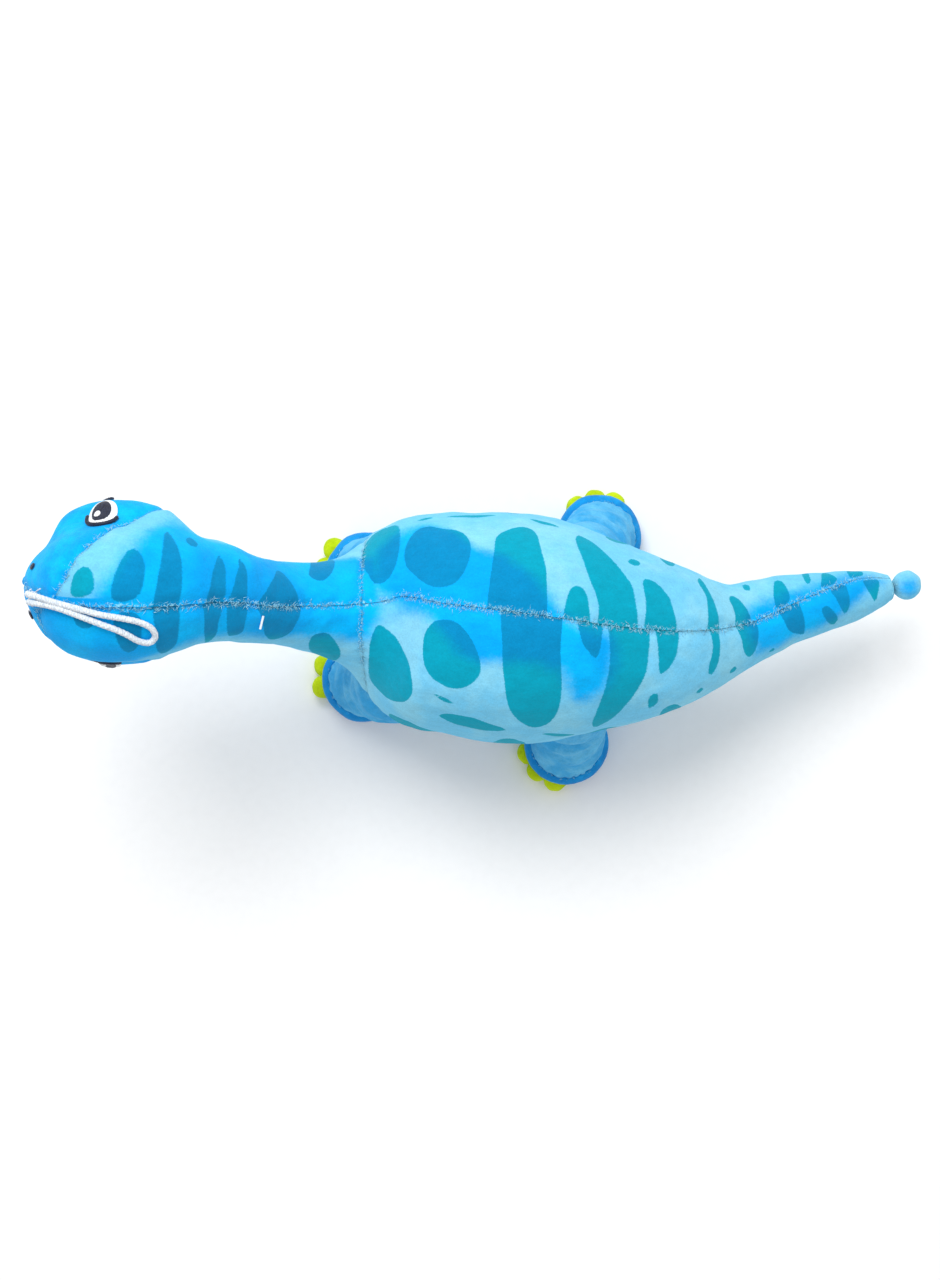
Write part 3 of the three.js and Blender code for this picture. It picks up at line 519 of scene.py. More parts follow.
def seam_fuzz(shades, colour, reach, grain, rare, share):
    """Pale fuzz along the seams, partly fibres and backing and partly painted highlight where the seam ridges
    catch the light: where it is, and the colour with it on.
    """
    near = shades.step(shades.attribute("seam"), *reach)
    flecks = shades.step(shades.noise(grain, detail=3, rough=0.75), *rare)
    fuzz = shades.math("MULTIPLY", near, flecks)
    return fuzz, shades.mix(shades.math("MULTIPLY", fuzz, share), colour, FUZZ_AND_GLINT)


def printed_plush():
    """The printed skin: pile painted pale or azure as painted sheen, teal spots, and pale fuzz along the
    seams that is partly painted highlight.
    """
    shades = Nodes("printed_plush")
    broad = shades.noise(62, detail=4, rough=0.62)
    fine = shades.noise(900, detail=3, rough=0.7)
    # painted sheen: the pile turns from pale to azure inside its outlines, and the teal spots darken with it
    painted_sheen = shades.math("MULTIPLY_ADD", broad, 9.0, shades.attribute("painted_sheen"))
    azure = shades.step(shades.math("MULTIPLY_ADD", fine, 4.0, painted_sheen), 2.5, 10.5)
    pale = shades.mix(shades.step(shades.noise(38, detail=4, rough=0.6), 0.42, 0.66), PALE, PALE_WORN)
    deep = shades.mix(shades.step(shades.noise(30, detail=3), 0.4, 0.62), AZURE_COLOUR, AZURE_DEEP)
    ground = shades.mix(azure, pale, deep)
    ink = shades.mix(azure, TEAL, TEAL_AZURE)
    ragged = shades.noise(1300, detail=2, rough=0.6)
    spots = shades.step(shades.math("MULTIPLY_ADD", ragged, 0.9, shades.attribute("spots")), 0.2, 0.75)
    colour = worn(shades, shades.mix(spots, ground, ink))
    # pale seam fuzz, partly painted highlight on the seam ridges
    fuzz, colour = seam_fuzz(shades, colour, (1.7, 0.5), 640, (0.52, 0.62), 0.75)
    return shades.surface(colour, 0.88, 0.1, 0.14, (0.4, 0.85, 1.0), pile_bump(shades, fuzz))


def plain_plush(name, light, dark, fuzzy=True):
    """Plush of one dye, with its pile brushed in places."""
    shades = Nodes(name)
    brushed = shades.step(shades.noise(75, detail=5, rough=0.66), 0.38, 0.64)
    colour = worn(shades, shades.mix(brushed, linear(*dark), linear(*light)))
    fuzz = None
    # pale seam fuzz, partly painted highlight on the seam ridges
    if fuzzy:
        fuzz, colour = seam_fuzz(shades, colour, (1.5, 0.4), 700, (0.55, 0.64), 0.6)
    return shades.surface(colour, 0.88, 0.1, 0.14, (0.6, 0.9, 1.0), pile_bump(shades, fuzz))


def thread(name, light, dark, sheen=0.15, roughness=0.55):
    """Twisted or satin-stitched thread."""
    shades = Nodes(name)
    strands = shades.noise(2600, detail=3, rough=0.7, stretch=(1.0, 0.25, 0.25))
    colour = shades.mix(shades.step(strands, 0.35, 0.65), linear(*dark), linear(*light))
    return shades.surface(colour, roughness, 0.35, sheen, normal=shades.bump(strands, 0.00012, 0.6))


def fibre_fill():
    shades = Nodes("fibre_fill")
    wisps = shades.noise(260, detail=6, rough=0.75)
    colour = shades.ramp(wisps, (0.3, (0.72, 0.73, 0.72)), (0.7, (0.93, 0.93, 0.91)))
    return shades.surface(colour, 0.95, 0.1, 0.4, normal=shades.bump(wisps, 0.001, 0.8))


def clear_plastic():
    shades = Nodes("tag_plastic")
    cloud = shades.noise(800, detail=2)
    colour = shades.ramp(cloud, (0.3, (0.82, 0.88, 0.93)), (0.7, (0.93, 0.96, 0.98)))
    return shades.surface(colour, 0.3, 0.5, normal=shades.bump(cloud, 0.00005, 0.3))


# ---------------------------------------------------------------- the tube


def join_sections():
    bases = [
        (ROOTS["head_nod"], HEAD_SECTIONS),
        (ROOTS["neck_bend"], NECK_SECTIONS),
        (np.zeros(3), TORSO_SECTIONS),
        (ROOTS["tail_sway"], TAIL_SECTIONS),
    ]
    return np.array([[*(base + row[:3]), *row[3:]] for base, rows in bases for row in np.array(rows)])


def key_slopes():
    steps = np.diff(KEY_S)[:, None]
    slopes = np.diff(KEYS, axis=0) / steps
    inner = (slopes[:-1] * steps[1:] + slopes[1:] * steps[:-1]) / (steps[1:] + steps[:-1])
    return np.vstack([slopes[:1], inner, slopes[-1:]])


KEYS = join_sections()
KEY_S = run_lengths(KEYS[:, :3])
KEY_SLOPES = key_slopes()
TUBE_END = KEY_S[-1]
WAY_S = np.arange(0, TUBE_END, 1.0)


def section(s):
    """The tube's section values at s, and their rates of change, by a cubic through the keys."""
    i = np.clip(np.searchsorted(KEY_S, s, side="right") - 1, 0, len(KEY_S) - 2)
    step = (KEY_S[i + 1] - KEY_S[i])[..., None]
    u = (s - KEY_S[i])[..., None] / step
    values = (1 + 2 * u) * (1 - u) ** 2 * KEYS[i] + u * (1 - u) ** 2 * step * KEY_SLOPES[i]
    values = values + u**2 * (3 - 2 * u) * KEYS[i + 1] + u**2 * (u - 1) * step * KEY_SLOPES[i + 1]
    rates = (6 * u**2 - 6 * u) * (KEYS[i] - KEYS[i + 1]) / step
    rates = rates + (1 - 4 * u + 3 * u**2) * KEY_SLOPES[i] + (3 * u**2 - 2 * u) * KEY_SLOPES[i + 1]
    return values, rates


def steady_way():
    """The centre line's direction at every WAY_S, averaged over a length of about STEADY."""
    reach = 45
    share = bell(np.arange(-reach, reach + 1), STEADY)
    ways = np.pad(unit(section(WAY_S)[1][:, :3]), ((reach, reach), (0, 0)), mode="edge")
    return unit(np.stack([np.convolve(ways[:, k], share / share.sum(), "valid") for k in range(3)], axis=1))


STEADY_WAY = steady_way()


def tube_frame(s):
    """Section values at s, and the section's right, up and forward directions."""
    values, _ = section(s)
    along = unit(np.stack([np.interp(s, WAY_S, STEADY_WAY[:, k]) for k in range(3)], axis=-1))
    right = unit(np.cross([0.0, 0.0, 1.0], along))
    up = np.cross(along, right)
    roll = np.radians(values[..., 6])[..., None]
    turned = right * np.cos(roll) - up * np.sin(roll)
    return values, turned, up * np.cos(roll) + right * np.sin(roll), along


def oval(value):
    return np.sign(value) * np.abs(value) ** (2 / SQUARENESS)


def bare_tube(s, angle):
    """The point on the bare tube, its section's centre, and the way out from one to the other."""
    s, angle = np.broadcast_arrays(np.asarray(s, float), np.radians(np.asarray(angle, float)))
    values, right, up, along = tube_frame(np.clip(s, 0, TUBE_END))
    high = np.where(np.cos(angle) > 0, values[..., 4], values[..., 5])
    across = oval(np.sin(angle)) * values[..., 3]
    out = right * across[..., None] + up * (oval(np.cos(angle)) * high)[..., None]
    # Ahead of the nose, the tube closes in a small round cap
    past = np.clip(-s, 0, NOSE_CAP)
    out = out * np.sqrt(np.clip(1 - (past / NOSE_CAP) ** 2, 0.0004, 1))[..., None]
    centre = values[..., :3] - along * past[..., None]
    return centre + out, centre, out


def mean_radius(s):
    values, _ = section(np.asarray(s, float))
    return (2 * values[..., 3] + values[..., 4] + values[..., 5]) / 4


def tube_radius(s):
    """The mean radius, and beyond the tube's ends that of the end."""
    return mean_radius(np.clip(s, 0, TUBE_END))


def around(s, angle):
    """The distance round the tube from the spine seam."""
    return np.radians(angle) * tube_radius(s)


def lump_frame(lump, sign):
    """A lump's centre, axes and half-axes."""
    head_s = np.linspace(0, 90, 400)
    s = np.interp(ROOTS["head_nod"][0] - lump["along"], section(head_s)[0][:, 0], head_s)
    values, right, up, _ = tube_frame(np.array(s))
    at = values[:3] + right * lump["side"] * sign - up * lump["below"]
    tilt = math.radians(-HEAD_ROLL)
    across = [0, math.cos(tilt), math.sin(tilt)]
    tall = [0, -math.sin(tilt), math.cos(tilt)]
    return at, np.array([[1, 0, 0], across, tall]), np.array(lump["size"], float)


def smooth_lower(a, b, width):
    """The lower of two values, rounded where they are nearly equal."""
    near = np.clip(width - np.abs(a - b), 0, None) / width
    return np.minimum(a, b) - near**2 * width / 4


def head_lumps():
    """How far the cheeks and the jaw push the skin out from the bare tube, over the head."""
    grid_s, grid_angle = np.meshgrid(HEAD_S, HEAD_ANGLES, indexing="ij")
    _, centre, out = bare_tube(grid_s, grid_angle)
    radius = np.linalg.norm(out, axis=-1)
    way = unit(out)
    found = np.zeros_like(radius)
    for extra in np.linspace(LUMP_REACH, 0, 79):
        point = centre + way * (radius + extra)[..., None]
        gap = np.full_like(radius, extra)
        for lump, sign in ((CHEEK, 1), (CHEEK, -1), (JAW, 0)):
            at, axes, size = lump_frame(lump, sign)
            inside = np.linalg.norm(((point - at) @ axes.T) / size, axis=-1)
            gap = smooth_lower(gap, (inside - 1) * size.min(), LUMP_FILLET)
        found = np.where((found == 0) & (gap <= 0), extra, found)
    for _ in range(3):
        found = blurred(blurred(found.T, "wrap").T, "edge")
    return found * np.clip((HEAD_S[-1] - grid_s) / LUMP_FADE, 0, 1)


def blurred(values, ends):
    """Rows averaged with their neighbours."""
    wide = np.pad(values, ((2, 2), (0, 0)), mode=ends)
    return sum(share * wide[i : i + len(values)] / 16 for i, share in enumerate((1, 4, 6, 4, 1)))


HEAD_S = np.arange(0, 93, 1.0)
HEAD_ANGLES = np.arange(-180, 181, 3.0)
LUMPS = head_lumps()


def lump_height(s, angle):
    row = np.clip(s, 0, HEAD_S[-1] - 1e-6)
    column = (signed(np.asarray(angle, float)) + 180) / 3
    i, j = row.astype(int), np.clip(column.astype(int), 0, len(HEAD_ANGLES) - 2)
    u, v = row - i, column - j
    low = LUMPS[i, j] * (1 - v) + LUMPS[i, j + 1] * v
    high = LUMPS[i + 1, j] * (1 - v) + LUMPS[i + 1, j + 1] * v
    return (low * (1 - u) + high * u) * (np.asarray(s) < HEAD_S[-1])


def surface(s, angle, offset=0.0):
    """The skin's face, or a face at an offset over it."""
    s, angle = np.broadcast_arrays(np.asarray(s, float), np.asarray(angle, float))
    _, centre, out = bare_tube(s, angle)
    reach = np.linalg.norm(out, axis=-1)
    grown = np.clip(reach + lump_height(s, angle) + offset, 0.02, None)
    return centre + out / reach[..., None] * grown[..., None]


# ---------------------------------------------------------------- printed pattern


def depth_inside(s, angle, outline):
    """How deep a point of the skin lies inside an outline, in millimetres, and negative outside."""
    keys = np.array(outline, float)
    before, after, last = (np.roll(keys, shift, axis=0) for shift in (1, -1, -2))
    ring = np.stack([curve(before, keys, after, last, t) for t in np.arange(6) / 6], axis=1).reshape(-1, 2)
    ring[:, 1] = around(ring[:, 0], ring[:, 1])
    x, y = s, around(s, angle)
    result = np.full(x.shape, -FAR)
    low, high = ring.min(0) - FAR, ring.max(0) + FAR
    near = (x > low[0]) & (x < high[0]) & (y > low[1]) & (y < high[1])
    if not near.any():
        return result
    points = np.stack([x[near], y[near]], axis=-1)
    side = np.roll(ring, -1, axis=0) - ring
    from_start = points[:, None] - ring
    share = np.clip((from_start * side).sum(-1) / np.maximum((side**2).sum(-1), 1e-9), 0, 1)
    distance = np.linalg.norm(from_start - share[..., None] * side, axis=-1).min(1)
    crosses = (ring[:, 1] > points[:, 1:]) != (np.roll(ring[:, 1], -1) > points[:, 1:])
    rise = np.where(np.abs(side[:, 1]) < 1e-9, 1e-9, side[:, 1])
    where = ring[:, 0] + (points[:, 1:] - ring[:, 1]) * side[:, 0] / rise
    inside = (crosses & (points[:, :1] < where)).sum(1) % 2 == 1
    result[near] = np.clip(np.where(inside, distance, -distance), -FAR, FAR)
    return result


def deepest(s, angle, outlines):
    return np.max([depth_inside(s, angle, outline) for outline in outlines], axis=0)


def spot_depth(s, angle, side):
    """Depth inside the spots of one side, which run past the seam so that the seam cuts them off."""
    spots = SPOTS_RIGHT if side > 0 else SPOTS_LEFT
    return deepest(s, angle, [[(x, a or -side * OVER_SEAM) for x, a in spot] for spot in spots])


# ---------------------------------------------------------------- meshes


def add_mesh(name, points, faces, material, slot_name, values=None):
    """A smooth-shaded piece from points in millimetres, with its faces pointing out."""
    points = np.asarray(points, float).reshape(-1, 3)
    volume = 0.0
    for size in {len(face) for face in faces}:
        block = np.array([face for face in faces if len(face) == size])
        for k in range(1, size - 1):
            a, b, c = points[block[:, 0]], points[block[:, k]], points[block[:, k + 1]]
            volume += (a * np.cross(b, c)).sum() / 6
    if volume < 0:
        faces = [face[::-1] for face in faces]
    mesh = bpy.data.meshes.new(name)
    mesh.from_pydata((points * MM).tolist(), [], [list(map(int, face)) for face in faces])
    mesh.update()
    mesh.shade_smooth()
    mesh.materials.append(material)
    for key, value in (values or {}).items():
        attribute = mesh.attributes.new(key, "FLOAT", "POINT")
        attribute.data.foreach_set("value", value.astype(np.float32).ravel())
    piece = add_object(name, mesh)
    return piece


def unprinted(seam):
    """The attributes of a piece with seams, no printed pattern and no painted sheen."""
    return {"seam": seam, "painted_sheen": 0 * seam - FAR, "spots": 0 * seam - FAR}


def grid_faces(rows, columns, first=0, wrap=False):
    i = np.arange(rows - 1)[:, None]
    j = np.arange(columns if wrap else columns - 1)[None, :]
    k = (j + 1) % columns
    corners = [i * columns + j, (i + 1) * columns + j, (i + 1) * columns + k, i * columns + k]
    return (np.stack(corners, axis=-1).reshape(-1, 4) + first).tolist()


def sheet_faces(rows, columns):
    """A sheet with two faces and a rim: its outer points come first, and then its inner ones."""
    inner = rows * columns
    faces = grid_faces(rows, columns)
    faces += [face[::-1] for face in grid_faces(rows, columns, inner)]
    rim = list(range(columns))
    rim += [i * columns + columns - 1 for i in range(1, rows)]
    rim += [(rows - 1) * columns + j for j in range(columns - 2, -1, -1)]
    rim += [i * columns for i in range(rows - 2, 0, -1)]
    return faces + [[b, a, inner + a, inner + b] for a, b in zip(rim, rim[1:] + rim[:1])]


def closed_tube(rings):
    """Points and faces of rings joined into one body, with a hub at each end."""
    rows, columns = rings.shape[:2]
    faces = grid_faces(rows, columns, wrap=True)
    points = list(rings.reshape(-1, 3)) + [rings[0].mean(0), rings[-1].mean(0)]
    last = (rows - 1) * columns
    for j in range(columns):
        k = (j + 1) % columns
        faces.append([rows * columns, j, k])
        faces.append([rows * columns + 1, last + k, last + j])
    return np.array(points), faces


def joined(parts):
    """Several lots of points and faces as one."""
    points, faces = [], []
    for its_points, its_faces in parts:
        faces += [[k + len(points) for k in face] for face in its_faces]
        points += list(its_points)
    return np.array(points), faces


def path_rings(path, turn, radius):
    """Rings round a path, with a radius for every place on it and every turn."""
    along = unit(np.gradient(path, axis=0))
    across = unit(np.cross(along, [0.0, 0.0, 1.0]) + 1e-6)
    other = np.cross(across, along)
    out = across[:, None] * np.cos(turn)[:, None] + other[:, None] * np.sin(turn)[:, None]
    return path[:, None] + out * radius[..., None]


# ---------------------------------------------------------------- skins of the long tube


def seam_x_line(x):
    """s where the skin crosses a plane of constant x, at every 3 degrees."""
    low = np.full(HEAD_ANGLES.shape, 125.0)
    high = np.full(HEAD_ANGLES.shape, 175.0)
    for _ in range(30):
        middle = (low + high) / 2
        short = bare_tube(middle, HEAD_ANGLES)[0][..., 0] < x
        low, high = np.where(short, middle, low), np.where(short, high, middle)
    return middle


NECK_SEAM = seam_x_line(NECK_SEAM_X)


def neck_seam(angle):
    return np.interp(signed(angle), HEAD_ANGLES, NECK_SEAM)


def hood_seam(angle):
    angle = signed(angle)
    right, left = np.array(HOOD_SEAM_RIGHT).T, np.array(HOOD_SEAM_LEFT).T
    return np.where(angle >= 0, np.interp(angle, *right), np.interp(-angle, *left))


def belly_edge(s):
    """The angle of the belly seam, which closes to the underside where the belly panel ends."""
    share = np.clip((s - BELLY_POINT[0]) / (BELLY_POINT[1] - BELLY_POINT[0]), 0, 1)
    return BELLY_SEAM + (180 - BELLY_SEAM) * share**1.5


def always(value):
    """An edge that stays at one s or one angle."""
    return lambda place: value + 0 * place


def hip_folds(points):
    """How far the body's skin pulls in round each leg, with short folds running out from it."""
    pull = np.zeros(points.shape[:-1])
    for limb in LIMBS:
        hip = ROOTS[f"{limb}_leg_swing"]
        span = points - hip
        level = np.clip(-span[..., 2] / hip[2], 0, 1)[..., None]
        flat = span[..., :2] - np.array(LEGS[limb]["foot"]) * level
        ring = np.where(span[..., 2] > 0, np.linalg.norm(span, axis=-1), np.linalg.norm(flat, axis=-1))
        away = np.clip(ring - LEG_BALL, 0, None)
        turn = np.arctan2(flat[..., 1], flat[..., 0])
        folds = 0.5 + 0.5 * np.sin(turn * 11 + hip[0] * 0.3 + 1.5 * np.sin(turn * 3))
        pull += bell(away, 3.2) * HIP_DIP + np.exp(-away / 6) * folds * HIP_FOLD
    return pull


def skin_panel(name, start, end, low, high, ends, material, slot_name, side=0):
    """A panel of the tube between two lines along it, low and high, and two lines across it.

    start and end give s for an angle, and low and high give the angle for an s.
    """
    probe = np.array(90.0 * (side or 2))
    middle = 0.5 * float(start(probe)) + 0.5 * float(end(probe))
    probes = middle + np.linspace(-40, 40, 5)
    widest = max(np.radians(high(s) - low(s)) * float(mean_radius(s)) for s in probes)
    v = np.linspace(0, 1, int(widest / GRID) + 2)[None, :]
    first_angle = low(middle) + (high(middle) - low(middle)) * v
    s0, s1 = start(first_angle), end(first_angle)
    u = np.linspace(0, 1, int(np.max(s1 - s0) / GRID) + 2)[:, None]
    s = s0 + (s1 - s0) * u
    gap = np.degrees(SEAM_GAP / 2 / np.maximum(tube_radius(s), 3))
    low_angle, high_angle = low(s) + gap, high(s) - gap
    angle = low_angle + (high_angle - low_angle) * v
    to_seams = [around(s, angle) - around(s, low(s)), around(s, high(s)) - around(s, angle)]
    to_seams += [reach for reach, kind in zip((s - s0, s1 - s), ends) if kind == SEWN]
    seam = np.minimum(np.abs(to_seams).min(0), NO_SEAM)
    base = surface(s, angle)
    offset = -SEAM_DEPTH * bell(seam, SEAM_WIDTH) + SEAM_RISE * bell(seam - 5, 3)
    offset += PUCKER * ripple(base, 5.5, 11) * np.exp(-seam / 4.5)
    offset += 0.45 * ripple(base, 38, 3) + 0.22 * ripple(base, 13, 5) - hip_folds(base)
    offset *= np.clip(tube_radius(s) / 12, 0.15, 1)
    for row, kind in ((0, ends[0]), (-1, ends[1])):
        if kind == JOINED:
            offset[row] -= JOIN_DROP
    outer = surface(s, angle, offset)
    inner = surface(s, angle, offset - SKIN)
    angle = signed(angle)
    # painted sheen: the depth inside the outlines where the pile is painted azure
    values = {"seam": seam, "painted_sheen": deepest(s, angle, PAINTED_SHEEN_OUTLINES), "spots": np.full(s.shape, -FAR)}
    if side:
        values["spots"] = spot_depth(s, angle, side)
    # a pale band of painted sheen behind the right hood seam
    if side > 0:
        banded = np.minimum(values["painted_sheen"], s - hood_seam(angle) - HOOD_BAND)
        values["painted_sheen"] = np.where(angle > 6, banded, values["painted_sheen"])
    doubled = {key: np.tile(value.ravel(), 2) for key, value in values.items()}
    faces = sheet_faces(*s.shape)
    return add_mesh(name, np.stack([outer, inner]), faces, material, slot_name, doubled)


def make_skins(plush, face, belly):
    """The panels of the two sides, and the two in the middle of the underside."""
    pieces = {}
    nose = always(-NOSE_CAP)
    for word, side in SIDES:
        under = always(180.0 * side)
        panels = {
            "body": (neck_seam, always(TUBE_END - TAIL_OPENING), lambda s: side * belly_edge(s), SEWN, SEWN),
            "neck": (always(NECK_JOIN - JOIN_LIP), neck_seam, under, JOINED, SEWN),
            "hood": (hood_seam, always(NECK_JOIN + JOIN_LIP), under, SEWN, JOINED),
            "face": (nose, hood_seam, always(CHIN_SEAM * side), JOINED, SEWN),
        }
        for part, (start, end, far, *ends) in panels.items():
            low, high = (always(0.0), far) if side > 0 else (far, always(0.0))
            look = (face, "face_plush") if part == "face" else (plush, "blue_plush")
            name = f"{part}_{word}_skin"
            pieces[name] = skin_panel(name, start, end, low, high, ends, *look, side)
    panels = {
        "belly_skin": (neck_seam, always(BELLY_POINT[1] - 1.0), belly_edge, SEWN, belly, "belly_plush"),
        "chin_skin": (nose, hood_seam, always(CHIN_SEAM), JOINED, face, "face_plush"),
    }
    for name, (start, end, low, front, *look) in panels.items():
        high = lambda s: 360.0 - low(s)
        pieces[name] = skin_panel(name, start, end, low, high, (front, SEWN), *look)
    return pieces


def centre_at(s):
    return Vector(section(np.array(float(s)))[0][:3] * MM)


def attach_to_bend(piece, part):
    """Fabric across a joint is left where it stands, with its transform baked in, and the rest rides on the
    head.
    """
    tail_root = Vector(ROOTS["tail_sway"] * MM)
    neck_root = ROOTS["neck_bend"] * MM
    behind = Vector((NECK_SEAM_X * MM - 0.003, neck_root[1], neck_root[2]))
    bends = {
        "body": ("torso", "tail", tail_root - Vector((0.014, 0, 0)), tail_root + Vector((0.016, 0, 0))),
        "neck": ("torso", "neck", behind, behind - Vector((0.026, 0, 0))),
        "hood": ("neck", "head", centre_at(NECK_JOIN - 5), centre_at(NECK_JOIN - 32)),
    }
    if part in bends:
        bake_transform(piece)
    else:
        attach(piece, "head")


def place_skins(pieces):
    """Every skin is set in place and stands for its CAD panels."""
    stand_for = {"belly_skin": ("body", ["belly_panel"]), "chin_skin": ("face", ["jaw"])}
    for word, _ in SIDES:
        for part in ("body", "neck", "hood", "face"):
            stand_for[f"{part}_{word}_skin"] = (part, [f"{part}_{word}_panel"])
        stand_for[f"body_{word}_skin"][1].append(f"tail_{word}_panel")
        stand_for[f"face_{word}_skin"][1].append(f"cheek_{word}")
    for name, piece in pieces.items():
        part, nodes = stand_for[name]
        attach_to_bend(piece, part)
        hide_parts(*nodes)


# ---------------------------------------------------------------- filling


def make_filling(material):
    """Lumpy fibre inside each part, stopping short of where the skin bends."""
    for name, s0, s1, body in STUFFINGS:
        rows = int((s1 - s0) / 2.5)
        s = s0 + (s1 - s0) * (1 - np.cos(np.linspace(0, math.pi, rows))) / 2
        from_end = np.clip(np.minimum(s - s0, s1 - s) / 12, 0.01, 1)
        reach = np.sqrt(1 - (1 - from_end) ** 2)
        skin, centre, out = bare_tube(*np.meshgrid(s, np.arange(0, 360, 5.0), indexing="ij"))
        lumps = 0.7 * ripple(skin, 16, 21) + 0.4 * ripple(skin, 6, 22)
        radius = np.linalg.norm(out, axis=-1)
        kept = np.clip(radius - STUFFING_GAP - 1.2 + lumps, 0.5, None) * reach[:, None]
        points, faces = closed_tube(centre + unit(out) * kept[..., None])
        piece = add_mesh(f"{name}_stuffing", points, faces, material, "filling")
        settle(piece, body, f"{name}_filling")


# ---------------------------------------------------------------- face


def face_patch(name, s, angle, radii, low, high, material, slot_name):
    """A satin-stitched patch: an oval on the skin whose stitches make fine ridges across it."""
    turn = turns(40)
    span = mean_radius(s) + lump_height(np.array([float(s)]), np.array([float(angle)]))[0]
    top, under = [], []
    for share in np.sin(np.linspace(0, math.pi / 2, 9)):
        along, across = radii[0] * share * np.cos(turn), radii[1] * share * np.sin(turn)
        ridge = 0.12 * np.sin(across * 2 * math.pi / STITCH_PITCH) * (1 - share**6)
        place = s + along, angle + np.degrees(across / span)
        top.append(surface(*place, high + 0.5 * (1 - share**4) + ridge))
        under.append(surface(*place, low))
    points, faces = closed_tube(np.array(top + under[::-1]))
    piece = add_mesh(name, points, faces, material, slot_name)
    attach(piece, "head")
    return piece


def thread_tube(name, path, radius, material, slot_name, sides=10, twist=0.0):
    """A thread on the head through a list of points in millimetres, swollen at each stitch."""
    path = np.array(path)
    length = run_lengths(path)
    turn = turns(sides)
    swell = radius * (1 + 0.16 * np.sin(turn * 3 + length[:, None] * twist))
    taper = np.minimum(1.0, 0.35 + np.minimum(length, length[-1] - length) / (2 * radius))
    points, faces = closed_tube(path_rings(path, turn, swell * taper[:, None]))
    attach(add_mesh(name, points, faces, material, slot_name), "head")


def make_face(white, dark):
    """Eyes and nostrils on both sides, and the mouth's line across them."""
    s = EYE["s"]
    for word, side in SIDES:
        angle = EYE["angle"] * side
        glint = (EYE["glint"], EYE["glint"])
        patches = [
            ("white", EYE["white"], 0.1, 0.75, white, "eye_white", s, angle),
            ("pupil", EYE["pupil"], 1.0, 1.5, dark, "eye_dark", s - 0.6, angle),
            ("glint", glint, 1.9, 2.2, white, "eye_white", s - 1.6, angle - 4.5 * side),
        ]
        for kind, radii, low, high, material, slot_name, at_s, at_angle in patches:
            name = f"{word}_eye_{kind}"
            piece = face_patch(name, at_s, at_angle, radii, low, high, material, slot_name)
            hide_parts(f"eye_{kind}_{word}")
        length, rise = EYE["white"][0] * 1.12, EYE["white"][1] * 1.08 / (mean_radius(s) + 2)
        bows = np.linspace(0.25, math.pi - 0.1, 9)
        lid = [(s + length * math.cos(t), angle - side * math.degrees(math.sin(t) * rise)) for t in bows]
        line = surface(*smooth_line(lid, 60).T, 0.7)
        thread_tube(f"{word}_eyelid", line, 0.75, dark, "eye_dark", twist=5)
        name, radii = f"{word}_nostril", (NOSTRIL["radius"], NOSTRIL["radius"] * 0.8)
        angle = NOSTRIL["angle"] * side
        nostril = face_patch(name, NOSTRIL["s"], angle, radii, 0.05, 0.5, dark, "eye_dark")
        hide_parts(f"nostril_{word}")
    line = smooth_line(MOUTH + [(s, 360 - angle) for s, angle in MOUTH[-2::-1]], 220)
    thread_tube("mouth_stitches", surface(*line.T, 0.15), 0.7, dark, "eye_dark", twist=4.2)


# ---------------------------------------------------------------- hanging loop


def make_loop(material):
    """A braided cord: a tube whose face carries the strands crossing both ways round it."""
    path = smooth_line(np.array(LOOP_ROUTE) / MM, 520)
    turn = turns(24)
    lay = run_lengths(path)[:, None] * 2 * math.pi / BRAID_PITCH
    strands = np.maximum(np.abs(np.sin(turn * 2 + lay)), np.abs(np.sin(turn * 2 - lay)))
    radius = LOOP_DIAMETER / MM / 2 * (0.78 + 0.24 * strands)
    points, faces = closed_tube(path_rings(path, turn, radius))
    loop = add_mesh("braided_loop", points, faces, material, "white_cord")
    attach(loop, "loop")
    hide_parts("hanging_loop")


def drop_on_head(point, offset):
    """The point of the head's upper skin over or under the given one."""
    s, angle = 12.0, 0.0
    for _ in range(40):
        miss = surface(np.array(s), np.array(angle), offset) - point
        s = min(max(s - miss[0] * 0.6, -1), 90)
        angle -= math.degrees(miss[1] / 18) * 0.6
    return surface(np.array(s), np.array(angle), offset)


def make_loop_stitches(material):
    """The thread that closes the seam over the loop's two ends."""
    rng = np.random.default_rng(7)
    root = np.array(LOOP_ROUTE[0]) / MM
    for i in range(7):
        start = root + [rng.uniform(-2.5, 3.0), rng.uniform(-4.5, 1.5), 0]
        run = np.array([rng.uniform(2.0, 3.6), rng.uniform(-1.6, 1.6), 0])
        shares = np.linspace(0, 1, 12)
        line = [drop_on_head(start + run * t, 0.35 + 0.5 * math.sin(t * math.pi)) for t in shares]
        thread_tube(f"root_stitch_{i + 1}", line, 0.28, material, "white_cord", sides=6, twist=8)


# ---------------------------------------------------------------- legs


def leg_rings(hip, foot, high, low, offset, rows, spokes=96):
    """Rings of a leg from one height down to another, round the line from the hip to the foot."""
    tilts = np.radians([12, 38, 60, 90])
    keys = [
        *zip(hip[2] + LEG_BALL * np.cos(tilts), LEG_BALL * np.sin(tilts)),
        (hip[2] - 10, LEG_SHAFT),
        (ANKLE + 6, LEG_SHAFT - 0.2),
        (ANKLE, LEG_SHAFT + 0.6),
        (ANKLE - 5, FOOT_RADIUS - 0.4),
        (ANKLE - 10, FOOT_RADIUS),
        (SOLE_THICKNESS + 0.5, SOLE_RADIUS + 0.8),
    ]
    profile = smooth_line(keys, 240)
    z = np.linspace(high, low, rows)
    radius = np.interp(-z, -profile[:, 0], profile[:, 1])
    share = np.clip((hip[2] - z) / (hip[2] - ANKLE), 0, 1) ** 0.9
    centre = hip[:2] + (foot - hip[:2]) * share[:, None]
    turn = turns(spokes)
    out = np.stack([np.cos(turn), np.sin(turn)], axis=1)
    rings = np.dstack([centre[:, None] + out * radius[:, None, None], z[:, None] + 0 * turn])
    rings[..., :2] += out * offset(rings, z[:, None], turn)[..., None]
    return rings


